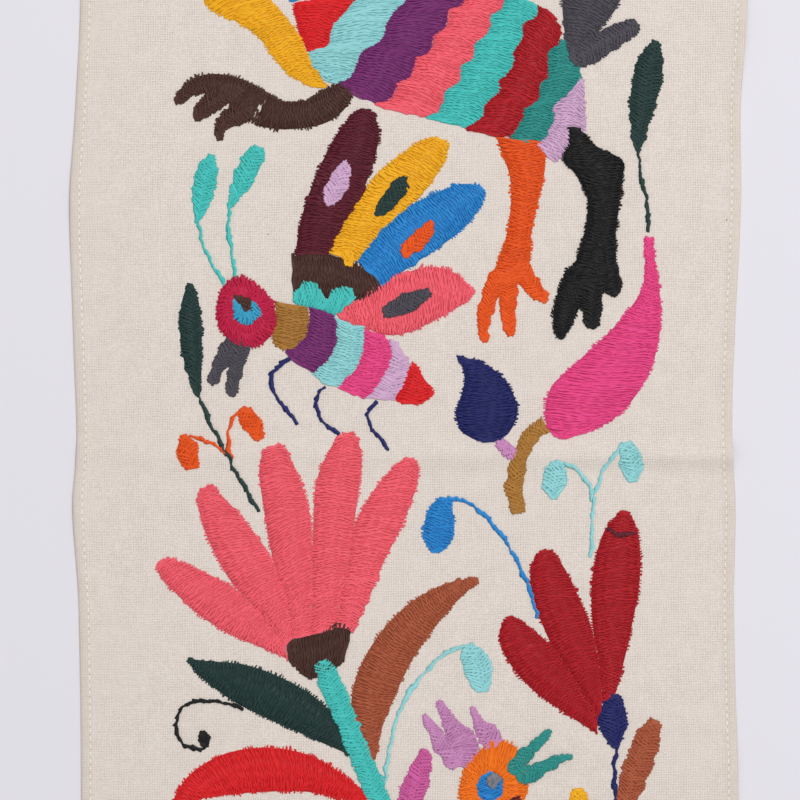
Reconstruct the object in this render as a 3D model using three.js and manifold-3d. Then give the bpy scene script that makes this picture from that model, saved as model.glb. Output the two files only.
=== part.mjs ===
// A hemmed cotton cloth embroidered by hand with plants and animals in the Otomi manner of Tenango,
// lying face up. Millimetres, +Z up: X runs across the cloth, Y along it, and the fold line left by
// storing it folded in half lies near Y = 0. The origin is under the middle of the cloth.

import * as THREE from "three";
import Module from "manifold-3d";

const wasm = await Module();
wasm.setup();

// Sizes of the cloth: a plain weave with the embroidery's thread backs under it, and turned hems.
const clothLength = 680;
const clothHalfWidth = 150;
const clothThickness = 1.2;
const hemThickness = 1.9;
const sideHem = 5;
const endHem = 8;

// The two long edges wander: y along the cloth, then x of the left and of the right edge.
const edgeTable = [
  { y: -340, left: -150.2, right: 148.8 },
  { y: -230, left: -149.0, right: 150.2 },
  { y: -143, left: -148.1, right: 149.1 },
  { y: -64, left: -149.2, right: 147.3 },
  { y: -20, left: -151.8, right: 148.1 },
  { y: 8, left: -150.1, right: 146.5 },
  { y: 49, left: -151.4, right: 147.4 },
  { y: 117, left: -153.2, right: 150.5 },
  { y: 162, left: -150.6, right: 150.4 },
  { y: 207, left: -148.5, right: 153.2 },
  { y: 262, left: -149.5, right: 151.6 },
  { y: 340, left: -151.0, right: 149.8 },
];

// The fold line: a soft ridge that stands higher towards the right edge.
const foldY = 3;
const foldHalfWidth = 5;
const foldHeightLeft = 0.8;
const foldHeightRight = 3.2;

// Places where an edge lifts a little off the table: centre, reach and height of each soft hump.
// A hump is longer along the edge than across it, and a lift under flatLimit counts as none.
const humpStretch = 0.6;
const flatLimit = 0.02;
const liftTable = [
  { x: 153, y: 196, reach: 26, height: 1.6 },
  { x: -152, y: 118, reach: 20, height: 0.8 },
  { x: -151, y: -22, reach: 16, height: 0.7 },
  { x: 149, y: -140, reach: 22, height: 0.9 },
];

// Rows and columns of the cloth's own grid.
const rowPitch = 24;
const foldRows = [-10, -3.5, 0, 3, 6, 9.5, 16];
const columnShares = [0.14, 0.32, 0.5, 0.68, 0.86];

// The embroidery stands this high. A field set into another stands a little prouder.
const threadRise = 0.95;
const insetRise = 1.25;
const lineRise = 0.8;
const lineWidth = 2;

// A field's edge is rolled down over its outermost threads, and two fields leave a slit between them.
const edgeRoll = 1.3;
const shoulderShare = 0.78;
const padSink = 0.5;
const fieldGap = 0.5;
const leastHalfWidth = 0.6;

// Sections come at this pitch along a field, and a narrow field has a plain ridge for its section.
const stationPitch = 13;
const narrowField = 9.5;

// A disc is cut off a little before each pole, as a share of its half turn.
const discRows = 6;
const discEnd = 0.12;

// A round flower, as shares of its reach, and a sprig of leaves in millimetres.
const rosetteCentre = 0.26;
const rosetteTurn = 0.3;
const petalTable = [
  { share: 0.28, half: 0.1 },
  { share: 0.65, half: 0.21 },
  { share: 1, half: 0.08 },
];
const sprigHeight = 54;
const sprigFoot = 12;
const sprigStep = 11;
const sprigLeafTable = [
  { out: 1.5, up: 0, half: 1.2 },
  { out: 13.5, up: 7, half: 4.8 },
  { out: 26.5, up: 10, half: 1.3 },
];

// Thread colours.
const thread = {
  maroon: "#521a2c",
  crimson: "#a31c28",
  red: "#df2628",
  coral: "#f2606c",
  pink: "#e2407f",
  cerise: "#c21f4d",
  magenta: "#c4559f",
  orchid: "#c07fbd",
  lilac: "#cfa5dc",
  purple: "#6b2c6c",
  navy: "#262a60",
  blue: "#1f7cc8",
  sky: "#2f9bd6",
  aqua: "#8cd8d8",
  turquoise: "#3fc4b8",
  teal: "#2a8c7e",
  bottle: "#21403c",
  yellow: "#eda81f",
  ochre: "#a9702a",
  orange: "#e8561c",
  tangerine: "#f57f17",
  rust: "#9c4f32",
  brown: "#46322b",
  slate: "#4a474f",
  black: "#19191b",
};
const clothColour = "#dfd6cb";

// How far the cloth is off the table at a point.
function liftAt(x, y) {
  const across = THREE.MathUtils.clamp((x / clothHalfWidth + 1) / 2, 0, 1);
  const height = THREE.MathUtils.lerp(foldHeightLeft, foldHeightRight, across ** 2);
  let lift = height * Math.exp(-(((y - foldY) / foldHalfWidth) ** 2));
  for (const hump of liftTable) {
    const distance = Math.hypot(x - hump.x, (y - hump.y) * humpStretch);
    lift += hump.height * Math.exp(-(((2 * distance) / hump.reach) ** 2));
  }
  return lift < flatLimit ? 0 : lift;
}

// The cloth's edge at a given length, from the edge table.
function edgeAt(y, side) {
  const curve = new THREE.SplineCurve(edgeTable.map((row) => new THREE.Vector2(row.y, row[side])));
  const next = edgeTable.findIndex((row) => row.y >= y);
  const high = Math.max(1, next);
  const low = edgeTable[high - 1];
  const share = (y - low.y) / (edgeTable[high].y - low.y);
  return curve.getPoint((high - 1 + share) / (edgeTable.length - 1)).y;
}

// Height of the cloth's upper face, without its hems.
function topAt(x, y) {
  return liftAt(x, y) + clothThickness;
}

// A closed solid from points and triangles, turned so that its faces point out.
function solidFrom(points, triangles) {
  let volume = 0;
  for (const [a, b, c] of triangles) {
    volume += points[a].dot(new THREE.Vector3().crossVectors(points[b], points[c]));
  }
  const ordered = volume < 0 ? triangles.map(([a, b, c]) => [a, c, b]) : triangles;
  return new wasm.Manifold(
    new wasm.Mesh({
      numProp: 3,
      vertProperties: new Float32Array(points.flatMap((point) => point.toArray())),
      triVerts: new Uint32Array(ordered.flat()),
    }),
  );
}

// The cloth: a grid of points on its upper face and the same grid on its underside.
function clothSolid() {
  const half = clothLength / 2;
  const plainRows = [];
  for (let y = -half + rowPitch; y < half - endHem; y += rowPitch) {
    if (Math.abs(y) > foldRows.at(-1) + rowPitch / 3) plainRows.push(y);
  }
  const rows = [-half, -half + endHem, ...plainRows, ...foldRows, half - endHem, half].sort((a, b) => a - b);
  const points = [];
  for (const under of [false, true]) {
    for (const y of rows) {
      const left = edgeAt(y, "left");
      const right = edgeAt(y, "right");
      const inner = columnShares.map((share) => THREE.MathUtils.lerp(left, right, share));
      for (const x of [left, left + sideHem, ...inner, right - sideHem, right]) {
        const inHem = x === left || x === right || Math.abs(y) === half;
        const top = inHem ? liftAt(x, y) + hemThickness : topAt(x, y);
        points.push(new THREE.Vector3(x, y, under ? liftAt(x, y) : top));
      }
    }
  }
  const columns = columnShares.length + 4;
  const layer = rows.length * columns;
  const triangles = [];
  const quad = (a, b, c, d) => triangles.push([a, b, c], [a, c, d]);
  for (let row = 0; row < rows.length - 1; row++) {
    for (let column = 0; column < columns - 1; column++) {
      const a = row * columns + column;
      quad(a, a + 1, a + columns + 1, a + columns);
      quad(layer + a, layer + a + columns, layer + a + columns + 1, layer + a + 1);
    }
    const start = row * columns;
    const end = start + columns - 1;
    quad(start, start + columns, layer + start + columns, layer + start);
    quad(end, layer + end, layer + end + columns, end + columns);
  }
  for (let column = 0; column < columns - 1; column++) {
    const far = layer - columns + column;
    quad(column, layer + column, layer + column + 1, column + 1);
    quad(far, far + 1, layer + far + 1, layer + far);
  }
  return solidFrom(points, triangles);
}

// The four kinds of embroidered field. Each holds the two rails that its threads run between.
// A leaf follows a spine. Columns: x, y, half width.
function leaf(colour, rows) {
  const spine = new THREE.CatmullRomCurve3(rows.map(([x, y, half]) => new THREE.Vector3(x, y, half)));
  const count = stationCount(rows);
  const rails = { left: [], right: [] };
  for (let station = 0; station < count; station++) {
    const t = station / (count - 1);
    const point = spine.getPoint(t);
    const along = spine.getTangent(t).setZ(0).normalize();
    const out = new THREE.Vector2(-along.y, along.x).multiplyScalar(Math.max(point.z, leastHalfWidth));
    const centre = new THREE.Vector2(point.x, point.y);
    rails.left.push(centre.clone().add(out));
    rails.right.push(centre.clone().sub(out));
  }
  return { colour, ...rails, rise: threadRise };
}

// A band lies between two edges. Columns: x, y of the left edge, then x, y of the right edge.
function band(colour, rows) {
  const count = stationCount(rows);
  const edge = (offset) => {
    const curve = new THREE.SplineCurve(rows.map((row) => new THREE.Vector2(row[offset], row[offset + 1])));
    return Array.from({ length: count }, (_, station) => curve.getPoint(station / (count - 1)));
  };
  return { colour, left: edge(0), right: edge(2), rise: threadRise };
}

// A disc is a leaf whose half width follows an ellipse.
function disc(colour, x, y, radiusX, radiusY) {
  const rows = [];
  for (let row = 0; row < discRows; row++) {
    const angle = Math.PI * THREE.MathUtils.lerp(discEnd, 1 - discEnd, row / (discRows - 1));
    rows.push([x, y + radiusY * Math.cos(angle), radiusX * Math.sin(angle)]);
  }
  return leaf(colour, rows);
}

// A line is a twisted row of stem stitch. Columns: x, y.
function line(colour, rows) {
  const field = leaf(colour, rows.map(([x, y]) => [x, y, lineWidth / 2]));
  return { ...field, rise: lineRise, isLine: true };
}

// A field set into another.
function inset(field) {
  return { ...field, rise: insetRise };
}

// A round flower of equal petals about a centre.
function rosette(petalColour, centreColour, x, y, petals, reach) {
  const centre = reach * rosetteCentre;
  const fields = [inset(disc(centreColour, x, y, centre, centre))];
  for (let petal = 0; petal < petals; petal++) {
    const angle = (petal / petals) * 2 * Math.PI + rosetteTurn;
    const alongX = reach * Math.cos(angle);
    const alongY = reach * Math.sin(angle);
    const rows = petalTable.map(({ share, half }) => [x + alongX * share, y + alongY * share, reach * half]);
    fields.push(leaf(petalColour, rows));
  }
  return fields;
}

// Enough stations along a field for its length and its number of rows.
function stationCount(rows) {
  let length = 0;
  for (let row = 1; row < rows.length; row++) {
    length += Math.hypot(rows[row][0] - rows[row - 1][0], rows[row][1] - rows[row - 1][1]);
  }
  return Math.max(rows.length, 3, Math.round(length / stationPitch) + 1);
}

// The raised solid of one field: a rolled edge, a shoulder and a low crown across it.
function padSolid({ left, right, rise, isLine }) {
  const points = [];
  const width = Math.max(...left.map((point, station) => point.distanceTo(right[station])));
  const isNarrow = isLine || width < narrowField;
  left.forEach((leftPoint, station) => {
    const rightPoint = right[station];
    const span = leftPoint.distanceTo(rightPoint);
    const trim = isLine ? 0 : Math.min(fieldGap / 2 / span, 0.2);
    const roll = Math.min(edgeRoll / span, 0.3);
    const section = isNarrow
      ? [[trim, -padSink], [0.5, rise], [1 - trim, -padSink]]
      : [
          [trim, -padSink],
          [trim + roll, rise * shoulderShare],
          [0.5, rise],
          [1 - trim - roll, rise * shoulderShare],
          [1 - trim, -padSink],
        ];
    for (const [share, height] of section) {
      const place = leftPoint.clone().lerp(rightPoint, share);
      points.push(new THREE.Vector3(place.x, place.y, topAt(place.x, place.y) + height));
    }
  });
  const size = isNarrow ? 3 : 5;
  const triangles = [];
  for (let station = 0; station < left.length - 1; station++) {
    for (let corner = 0; corner < size; corner++) {
      const a = station * size + corner;
      const b = station * size + ((corner + 1) % size);
      triangles.push([a, b, b + size], [a, b + size, a + size]);
    }
  }
  const last = points.length - size;
  for (let corner = 1; corner < size - 1; corner++) {
    triangles.push([0, corner + 1, corner], [last, last + corner, last + corner + 1]);
  }
  return solidFrom(points, triangles);
}

// The striped beast that faces left at the top, with its head, back and tail finished plainly.
const beast = [
  band("yellow", [
    [-41.5, 169, -37, 169], [-53, 174.5, -42, 177.5], [-59.5, 181, -45.5, 184.5],
    [-64, 187.5, -49.5, 193], [-70, 194, -54.5, 200], [-79.5, 200, -61, 207.5], [-90, 205, -68, 214],
    [-93, 211.5, -77, 225], [-105, 220, -94, 234], [-113, 229.5, -109.5, 233.5],
  ]),
  inset(disc("sky", -94, 221, 4.6, 4.6)),
  leaf("turquoise", [[-82.5, 230, 1.2], [-78, 241, 4.6], [-77, 250, 4.4], [-79, 259, 0.9]]),
  leaf("lilac", [[-96, 234, 1.1], [-98, 244, 4], [-102, 252, 3.4], [-106.5, 258.5, 0.8]]),
  band("red", [
    [-45, 186, -41, 186], [-49, 192, -36, 190.5], [-50.5, 199, -34, 197], [-52, 206, -28, 204],
    [-45, 208.5, -24, 209.5], [-34, 212, -19, 216],
  ]),
  band("blue", [
    [-53, 208, -46, 209.5], [-54, 215, -36, 213], [-46, 222, -26, 217], [-32, 227, -13, 222],
  ]),
  band("aqua", [
    [-35, 171.5, -32, 171], [-43, 178, -25, 176], [-45, 185, -21, 185], [-36.5, 189, -12, 191],
    [-34, 197, -9.5, 199], [-27, 205.5, -2, 208], [-20, 214.5, 7, 216], [-12, 226, 14, 225],
  ]),
  band("purple", [
    [-32, 170.5, -13.5, 161], [-25, 176, -4, 170], [-21, 185, 3, 179], [-12, 191, 10, 188],
    [-9.5, 199, 16, 198], [-2, 208, 23, 208], [7, 216, 28, 215], [14, 225, 31, 220.5],
  ]),
  band("coral", [
    [-13.5, 161, 9.5, 155.5], [-4, 170, 15, 163], [3, 179, 22, 173], [10, 188, 28, 184],
    [16, 198, 35, 194], [23, 208, 41, 205], [31, 220.5, 45, 215],
  ]),
  band("turquoise", [
    [9.5, 155.5, 27, 150.5], [15, 163, 33.5, 158], [22, 173, 41, 170], [28, 184, 47, 181],
    [35, 194, 51, 193], [41, 205, 56, 202], [45, 215, 58, 206],
  ]),
  band("crimson", [
    [27, 150.5, 47, 147], [33.5, 158, 51, 156], [41, 170, 58, 165], [47, 181, 61.5, 174],
    [51, 193, 64, 185], [61, 205.5, 69, 198],
  ]),
  band("teal", [
    [47, 147, 59.5, 144], [51, 156, 66, 154], [54.5, 160.5, 65, 159.5], [58, 165, 70.5, 165],
    [61.5, 174, 77.5, 173.5], [64, 185, 76, 183], [69, 191, 71.5, 191],
  ]),
  band("lilac", [
    [58, 143, 66.5, 135], [62.5, 148.5, 73, 140.5], [66.5, 154.5, 80, 149.5], [65.5, 159.5, 80, 156],
    [70.5, 165, 79.5, 163], [77.5, 172.5, 78.5, 172.5],
  ]),
  leaf("brown", [
    [-27, 168.5, 3.2], [-39.5, 160, 7], [-46, 157, 6.2], [-58, 157, 6.6], [-68, 160.5, 8],
    [-78, 167.5, 6.4], [-88, 171, 4.6], [-97, 169.5, 3.8], [-105, 163.5, 1.2],
  ]),
  leaf("brown", [[-76, 169, 2.5], [-85, 165, 4.3], [-91, 161, 4.2], [-96.5, 156, 1.6]]),
  leaf("brown", [[-70.5, 159.5, 2.8], [-80, 156, 4.4], [-85, 151, 2.8], [-85, 146.5, 0.9]]),
  band("orange", [
    [40, 146, 60, 143.5], [43, 138, 62, 138], [46, 128, 61, 127], [46, 115, 58, 115],
    [44.5, 103, 55.5, 103], [40.5, 91, 55, 91], [37, 81, 52, 82],
  ]),
  leaf("orange", [[41.5, 86.5, 2.8], [34, 66, 3], [35, 54.5, 0.8]]),
  leaf("orange", [[45.5, 86, 2.5], [45, 74, 3.4], [45.5, 57, 1.1]]),
  leaf("orange", [[48.5, 89, 2.5], [55, 80.5, 3.8], [62.5, 73.5, 1.1]]),
  band("black", [
    [72.5, 151, 77, 150], [73, 146, 81, 147], [71, 141, 86, 142], [70, 136, 97, 136.5],
    [75.5, 130, 97, 129], [80.5, 120, 96, 120], [81, 113, 95, 113], [79.5, 103, 94, 103],
    [76, 92, 94, 91], [71, 81, 95, 82],
  ]),
  leaf("black", [[78.5, 87.5, 4], [73, 74, 6], [70, 65.5, 4.9], [69, 55.5, 1.2]]),
  leaf("black", [[83, 87, 3.1], [83, 74, 4.6], [83, 60.5, 1.5]]),
  leaf("black", [[87.5, 89, 3.4], [91.5, 81, 5], [95, 76.5, 1.9]]),
  leaf("slate", [
    [74.5, 185, 2.1], [80, 204, 11], [84, 213, 12.6], [89, 224, 9.4], [93, 235, 4.4], [95, 243, 0.9],
  ]),
  leaf("slate", [[74.5, 181.5, 3.2], [86, 188.5, 5.4], [103.5, 198, 2.1]]),
];

// The dragonfly in the middle, with its four inset wings, jointed body and long feelers.
const dragonfly = [
  band("maroon", [
    [-51, 95.5, -36, 95.5], [-49, 109, -29.5, 106.5], [-44, 124, -21, 121], [-37, 140, -15, 137],
    [-30.5, 151, -13, 149], [-22.5, 159.5, -16, 159],
  ]),
  inset(leaf("lilac", [[-29, 136, 0.8], [-30, 130.5, 3.6], [-32.5, 124, 4.4], [-37, 116, 0.8]])),
  band("yellow", [
    [-36, 95, -23.5, 90.5], [-30, 106, -14, 102.5], [-21, 121, -2.5, 114], [-11.5, 132.5, 7.5, 122.5],
    [-0.5, 141, 14.5, 132.5], [12, 147.5, 18.5, 144.5],
  ]),
  inset(leaf("bottle", [[-1.5, 128.5, 0.9], [-4, 124.5, 3.4], [-12, 114.5, 2.6], [-14.5, 111.5, 0.8]])),
  band("blue", [
    [-23.5, 91, -12, 79.5], [-14, 103, -1, 87], [-2, 114, 12.5, 96], [11, 121, 24.5, 105],
    [22, 125.5, 32, 114], [31.5, 125.5, 35, 122],
  ]),
  inset(leaf("orange", [[10.5, 108, 0.9], [8, 104, 3], [3.5, 99, 3.4], [-2, 93.5, 0.8]])),
  band("coral", [
    [-31.5, 67, -30.5, 65], [-22, 74, -20, 61], [-12, 80, -10, 57], [0, 86, 0, 58.5],
    [10, 88, 11, 63.5], [19, 86.5, 20, 68.5], [26, 81.5, 26.5, 72.5], [29.5, 78, 29.5, 75.5],
  ]),
  inset(leaf("slate", [[9.5, 77, 1.1], [5, 74.5, 3.4], [-2, 71, 4.2], [-10.5, 67.5, 1.5]])),
  band("brown", [
    [-52, 93, -52, 77.5], [-45, 95, -46.5, 81.5], [-38, 94.5, -37.5, 77], [-31, 92.5, -31, 79.5],
    [-24, 89.5, -24, 74.5], [-17.5, 85, -18, 75], [-12.5, 79.5, -13, 78],
  ]),
  band("turquoise", [
    [-52, 76, -51.5, 73.5], [-47, 81.5, -48, 71], [-42, 81.5, -42, 70], [-37.5, 77, -37.5, 68.5],
    [-32, 80, -32, 66.5], [-27, 78, -28, 70.5], [-24.5, 75, -24.5, 73],
  ]),
  leaf("slate", [[-78.5, 56.5, 2], [-82.5, 50, 3], [-89.5, 35.5, 1.1]]),
  leaf("slate", [[-75.5, 55.5, 2.4], [-77, 47, 3.6], [-80, 30.5, 1.3]]),
  disc("cerise", -73.5, 68, 13.6, 16),
  inset(disc("sky", -73.5, 69.4, 5.4, 6)),
  band("ochre", [
    [-60.5, 72.5, -46, 70.5], [-59.5, 65, -45, 64], [-61.5, 58, -46, 58], [-60.5, 53.5, -49, 54.5],
    [-57, 50.5, -52, 50.5],
  ]),
  band("purple", [
    [-45, 70.5, -33.5, 66], [-44.5, 63, -32.5, 59.5], [-47, 56.5, -33, 53], [-51.5, 51.5, -36, 46.5],
    [-56, 50, -43, 40.5],
  ]),
  band("aqua", [
    [-33, 65, -19.5, 60.5], [-32.5, 59, -20, 55.5], [-33, 52, -20.5, 50.5], [-36.5, 45.5, -23, 43.5],
    [-43, 40, -28.5, 37], [-38, 36, -32, 34.5],
  ]),
  band("pink", [
    [-19.5, 60, -14, 57.5], [-20, 55, -9, 54], [-20.5, 49.5, -8, 47.5], [-23, 43, -10, 41],
    [-28.5, 37, -14, 34.5], [-33, 34, -19.5, 29],
  ]),
  band("lilac", [
    [-8, 54.5, -5, 53], [-8.5, 49, -1, 46.5], [-10, 42, 0.5, 42], [-13.5, 35.5, -2, 36],
    [-19, 29.5, -6.5, 28],
  ]),
  band("red", [
    [2, 44.5, 3.5, 44.5], [-0.5, 40, 6.5, 38.5], [-3, 34, 11, 33], [-6.5, 28.5, 10.5, 29.5],
    [-3, 26.5, 4, 26.5],
  ]),
  leaf("turquoise", [
    [-89, 138.5, 1.2], [-91, 132, 4.6], [-93, 123, 4.8], [-94.5, 115, 3], [-95.5, 108.5, 0.8],
  ]),
  line("turquoise", [[-95, 110], [-92, 96], [-87, 87], [-84, 82]]),
  leaf("turquoise", [[-67.5, 142.5, 1.6], [-71, 135.5, 4.6], [-74.5, 128, 4.4], [-81, 115.5, 0.8]]),
  line("turquoise", [[-81, 117], [-81.5, 108], [-80.5, 98], [-79, 91], [-78.5, 84]]),
  line("navy", [[-53, 47], [-59, 44], [-62, 38.5], [-61, 32.5], [-56.5, 25], [-50.5, 17]]),
  line("navy", [[-37, 35], [-41.5, 30.5], [-42.5, 24.5], [-40, 19], [-36, 16], [-31, 13]]),
  line("navy", [[-14, 28], [-18, 25], [-18, 19.5], [-15.5, 13], [-8, 5]]),
];

// Plants on the left: a bud on a long stem, sprouts, the great coral flower and its leaves.
const leftPlants = [
  leaf("bottle", [[-99, 80, 1.1], [-98.5, 72, 4], [-98.5, 60, 5], [-97.5, 48, 4.4], [-95, 30, 0.8]]),
  line("bottle", [[-95, 31], [-89, 16.5], [-82, 4], [-67, -22.5]]),
  leaf("orange", [[-101, 11.5, 1.7], [-100, 5, 4.8], [-97.5, -3, 2.1]]),
  line("orange", [[-98.5, 11.5], [-91.5, 10], [-86, 7], [-79, 2]]),
  leaf("orange", [[-75, 24, 1.6], [-71.5, 18.5, 4.4], [-67, 11, 1.6]]),
  line("orange", [[-76.5, 23], [-80.5, 18.5], [-81.5, 12], [-80.5, 2.5]]),
  band("coral", [
    [-55, -89, -56, -83], [-68, -83.5, -62, -75], [-82, -77.5, -70, -65.5], [-96, -68, -80, -56],
    [-107.5, -57, -95, -48.5], [-114, -47.5, -109.5, -43.5],
  ]),
  band("coral", [
    [-56, -83, -52, -80], [-62, -75, -54, -68], [-70, -65.5, -57, -56], [-81, -53, -62, -43.5],
    [-91, -34, -70.5, -31], [-95, -20, -81, -18.5], [-94.5, -12, -90.5, -10.5],
  ]),
  band("coral", [
    [-52, -80, -44, -78], [-54, -68, -43.5, -62], [-58, -54, -43.5, -45], [-62, -41, -44, -29],
    [-65.5, -22, -46, -17], [-67.5, -5, -51, -3], [-64.5, 6.5, -57.5, 7.5],
  ]),
  band("coral", [
    [-44, -78, -33, -75], [-43.5, -62, -30, -59], [-43.5, -45, -27, -44], [-42, -11, -22, -12],
    [-38, 1, -21, 1], [-31, 12.5, -23.5, 12],
  ]),
  band("coral", [
    [-33, -75, -24.5, -76], [-30, -59, -17.5, -61], [-27, -44, -11, -45], [-24.5, -29, -3.5, -30],
    [-16.5, -14, 2.5, -15], [-8, -3.5, 4.5, -5], [-1.5, 1.5, 3.5, 1],
  ]),
  band("brown", [
    [-55, -82.5, -54, -88.5], [-48.5, -79, -48, -96.5], [-40, -76.5, -42.5, -98], [-32, -73, -34, -94],
    [-26, -75.5, -29, -89],
  ]),
  leaf("turquoise", [
    [-38.5, -90, 2.4], [-36.5, -96, 4.8], [-16, -146, 4.8], [-11, -163, 4.6], [-10, -180, 4],
    [-12, -197, 1.2],
  ]),
  leaf("bottle", [
    [-99.5, -89.5, 0.8], [-90, -94.5, 4.8], [-76, -100, 8.8], [-60, -107, 9.8], [-45, -115, 8.6],
    [-34, -123.5, 5.6], [-26.5, -131.5, 0.9],
  ]),
  line("black", [
    [-74.5, -112], [-84, -108.5], [-95, -108], [-103.5, -113], [-105.5, -120], [-102, -127],
    [-96, -130], [-91.5, -128.5],
  ]),
  leaf("black", [[-92.5, -122, 0.8], [-92.5, -125, 2.3], [-91, -128.5, 0.9]]),
  band("red", [
    [-109, -166, -104, -167], [-106, -152, -98, -154.5], [-98, -140.5, -87, -151],
    [-83, -132, -74, -150], [-64, -129, -60, -149], [-45, -132.5, -46, -149], [-30, -141, -33, -151.5],
    [-19.5, -150, -22, -154.5], [-16.5, -158, -18, -159],
  ]),
  leaf("rust", [
    [31.5, -53.5, 0.8], [23.5, -57, 3.6], [15, -62, 6], [5, -70.5, 8.2], [-5, -82.5, 9.4],
    [-12.5, -96, 9.9], [-17, -109, 9], [-17.5, -121, 5.5], [-16, -134, 1],
  ]),
  leaf("aqua", [[26.5, -83.5, 2.1], [30, -89.5, 6], [32.5, -96.5, 5.6], [33.5, -103.5, 2]]),
  line("aqua", [
    [25, -83.5], [18, -85.5], [11, -91.5], [3.5, -100], [-3.5, -111.5], [-8, -126], [-11, -146],
  ]),
];

// Plants on the right: a bud, the pink drop, sprouts, the tulip and its neighbours.
const rightPlants = [
  leaf("bottle", [[111.5, 189, 1.6], [110, 183, 5], [106.5, 166, 6.2], [104, 141.5, 0.8]]),
  line("bottle", [[104, 142], [105, 128], [108, 115], [109, 103.5]]),
  band("pink", [
    [107, 101.5, 110, 101.5], [107, 92, 111, 92], [106, 80, 113, 80], [100.5, 70, 114, 69],
    [90, 58, 113.5, 56], [76, 45, 110, 43], [65, 34.5, 104, 32], [61.5, 23.5, 96.5, 22.5],
    [63, 15, 85, 15], [67, 11.5, 74, 11.5],
  ]),
  leaf("ochre", [
    [62, 16.5, 3.3], [57, 13.5, 3.5], [53, 8.5, 3.3], [48.5, -5, 3.4], [48, -12, 3.5],
    [49, -18.5, 3.4], [50, -22.5, 2.9],
  ]),
  band("navy", [
    [22, 47.5, 24.5, 47.5], [24.5, 43, 35, 44], [25.5, 37, 43.5, 37.5], [24, 30, 47.5, 30.5],
    [21, 22, 49.5, 22.5], [24.5, 13.5, 46, 13.5], [31, 9.5, 41, 10],
  ]),
  leaf("orchid", [[40, 10, 1.2], [44, 5.5, 2.6], [48.5, 2.5, 1.6]]),
  leaf("aqua", [[68.5, -1, 2.5], [66.5, -7, 5.8], [66, -12, 4.4], [66, -16.5, 1.2]]),
  line("aqua", [[70, -1], [75.5, -3], [83.5, -14.5], [82.5, -44]]),
  line("aqua", [[97, 8], [91.5, 2.5], [87.5, -5.5], [84, -15]]),
  leaf("aqua", [[98, 8, 2.1], [100, 2.5, 4.8], [101, -2.5, 4.8], [102, -8, 1.7]]),
  leaf("blue", [[16.5, -17, 2.5], [14.5, -23, 6], [13.5, -31, 7], [13, -37, 5.2], [11.5, -41, 1.7]]),
  line("blue", [[17, -16.5], [26, -18.5], [36, -25.5], [45, -37], [50.5, -48], [55, -57.5], [59, -71]]),
  band("crimson", [
    [84.5, -122.5, 86, -117], [70, -113, 79, -105], [56, -103, 72, -93], [45, -90, 64, -82.5],
    [41, -79, 54.5, -74.5], [43.5, -71, 48, -70],
  ]),
  band("crimson", [
    [86, -117, 87.5, -108], [71.5, -92.5, 85.5, -87], [64, -81, 82.5, -74], [58, -66, 77.5, -62],
    [55, -52, 71, -49], [58, -40.5, 64, -39],
  ]),
  band("crimson", [
    [87.5, -108, 93.5, -106], [87, -97, 96, -97], [83, -74, 101.5, -72], [82.5, -59, 104, -58],
    [84, -46, 105, -44], [88, -32.5, 104, -33], [95, -23, 100.5, -23.5],
  ]),
  leaf("navy", [
    [93, -105.5, 1.7], [92.5, -111, 5.4], [92.5, -118, 6.4], [93, -124, 4.2], [93.5, -129, 1],
  ]),
  line("navy", [[94, -128], [93, -140], [95.5, -176]]),
  leaf("rust", [
    [111, -117, 1.9], [108.5, -124, 5.2], [101.5, -143, 5.6], [98.5, -154, 4.4], [96.5, -168, 0.9],
  ]),
];

// The crested bird at the foot, with its body, tail and legs finished plainly.
const bird = [
  leaf("orchid", [[7.5, -115.5, 0.8], [15.5, -128, 3.4], [21.5, -137, 2.2]]),
  leaf("orchid", [[14, -108.5, 0.8], [21, -121.5, 4.6], [25.5, -127.5, 6.6], [23.5, -137, 2.9]]),
  leaf("orchid", [[28.5, -111.5, 0.8], [35, -122, 3.4], [38.5, -127, 2]]),
  disc("tangerine", 38.3, -143.7, 16, 18),
  inset(disc("blue", 36.8, -147.2, 6.4, 5.8)),
  inset(leaf("teal", [[47.5, -140.5, 2.2], [51, -134.5, 3.6], [61.5, -124, 1.8], [63.5, -122, 0.8]])),
  inset(leaf("teal", [[50, -143, 2.4], [57.5, -140, 3.4], [69, -134, 1.9], [73, -133, 0.8]])),
  band("maroon", [[25, -158, 51, -158], [22, -165, 54, -166], [18, -172, 57, -174]]),
  band("pink", [[18, -172.5, 57, -174.5], [13, -185, 61, -188], [10, -198, 62, -203]]),
  band("turquoise", [[10, -198.5, 62, -203.5], [9.5, -210, 60, -216], [12, -221, 55, -229]]),
  band("purple", [[12, -221.5, 55, -229.5], [16, -232, 48, -239], [22, -240, 38, -245]]),
  leaf("coral", [[16.5, -232.5, 2.5], [4, -247, 7.4], [-6, -262, 6.6], [-12.5, -279, 1.2]]),
  leaf("yellow", [[24.5, -242, 2.5], [19, -259, 7.2], [14, -276, 6.6], [12, -294, 1.2]]),
  leaf("blue", [[35, -246, 2.5], [35, -262, 6.6], [34, -278, 6], [34, -293, 1.2]]),
  line("navy", [[48, -240], [54, -254], [51, -266], [58, -280]]),
  leaf("magenta", [[8, -130.5, 1.6], [6, -137.5, 4.2], [0.5, -156, 5.2], [-2, -169, 1.2]]),
  leaf("yellow", [[77, -148.5, 2.1], [77, -157, 5.4], [76, -166, 5.6], [75, -178, 1.2]]),
];

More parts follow.
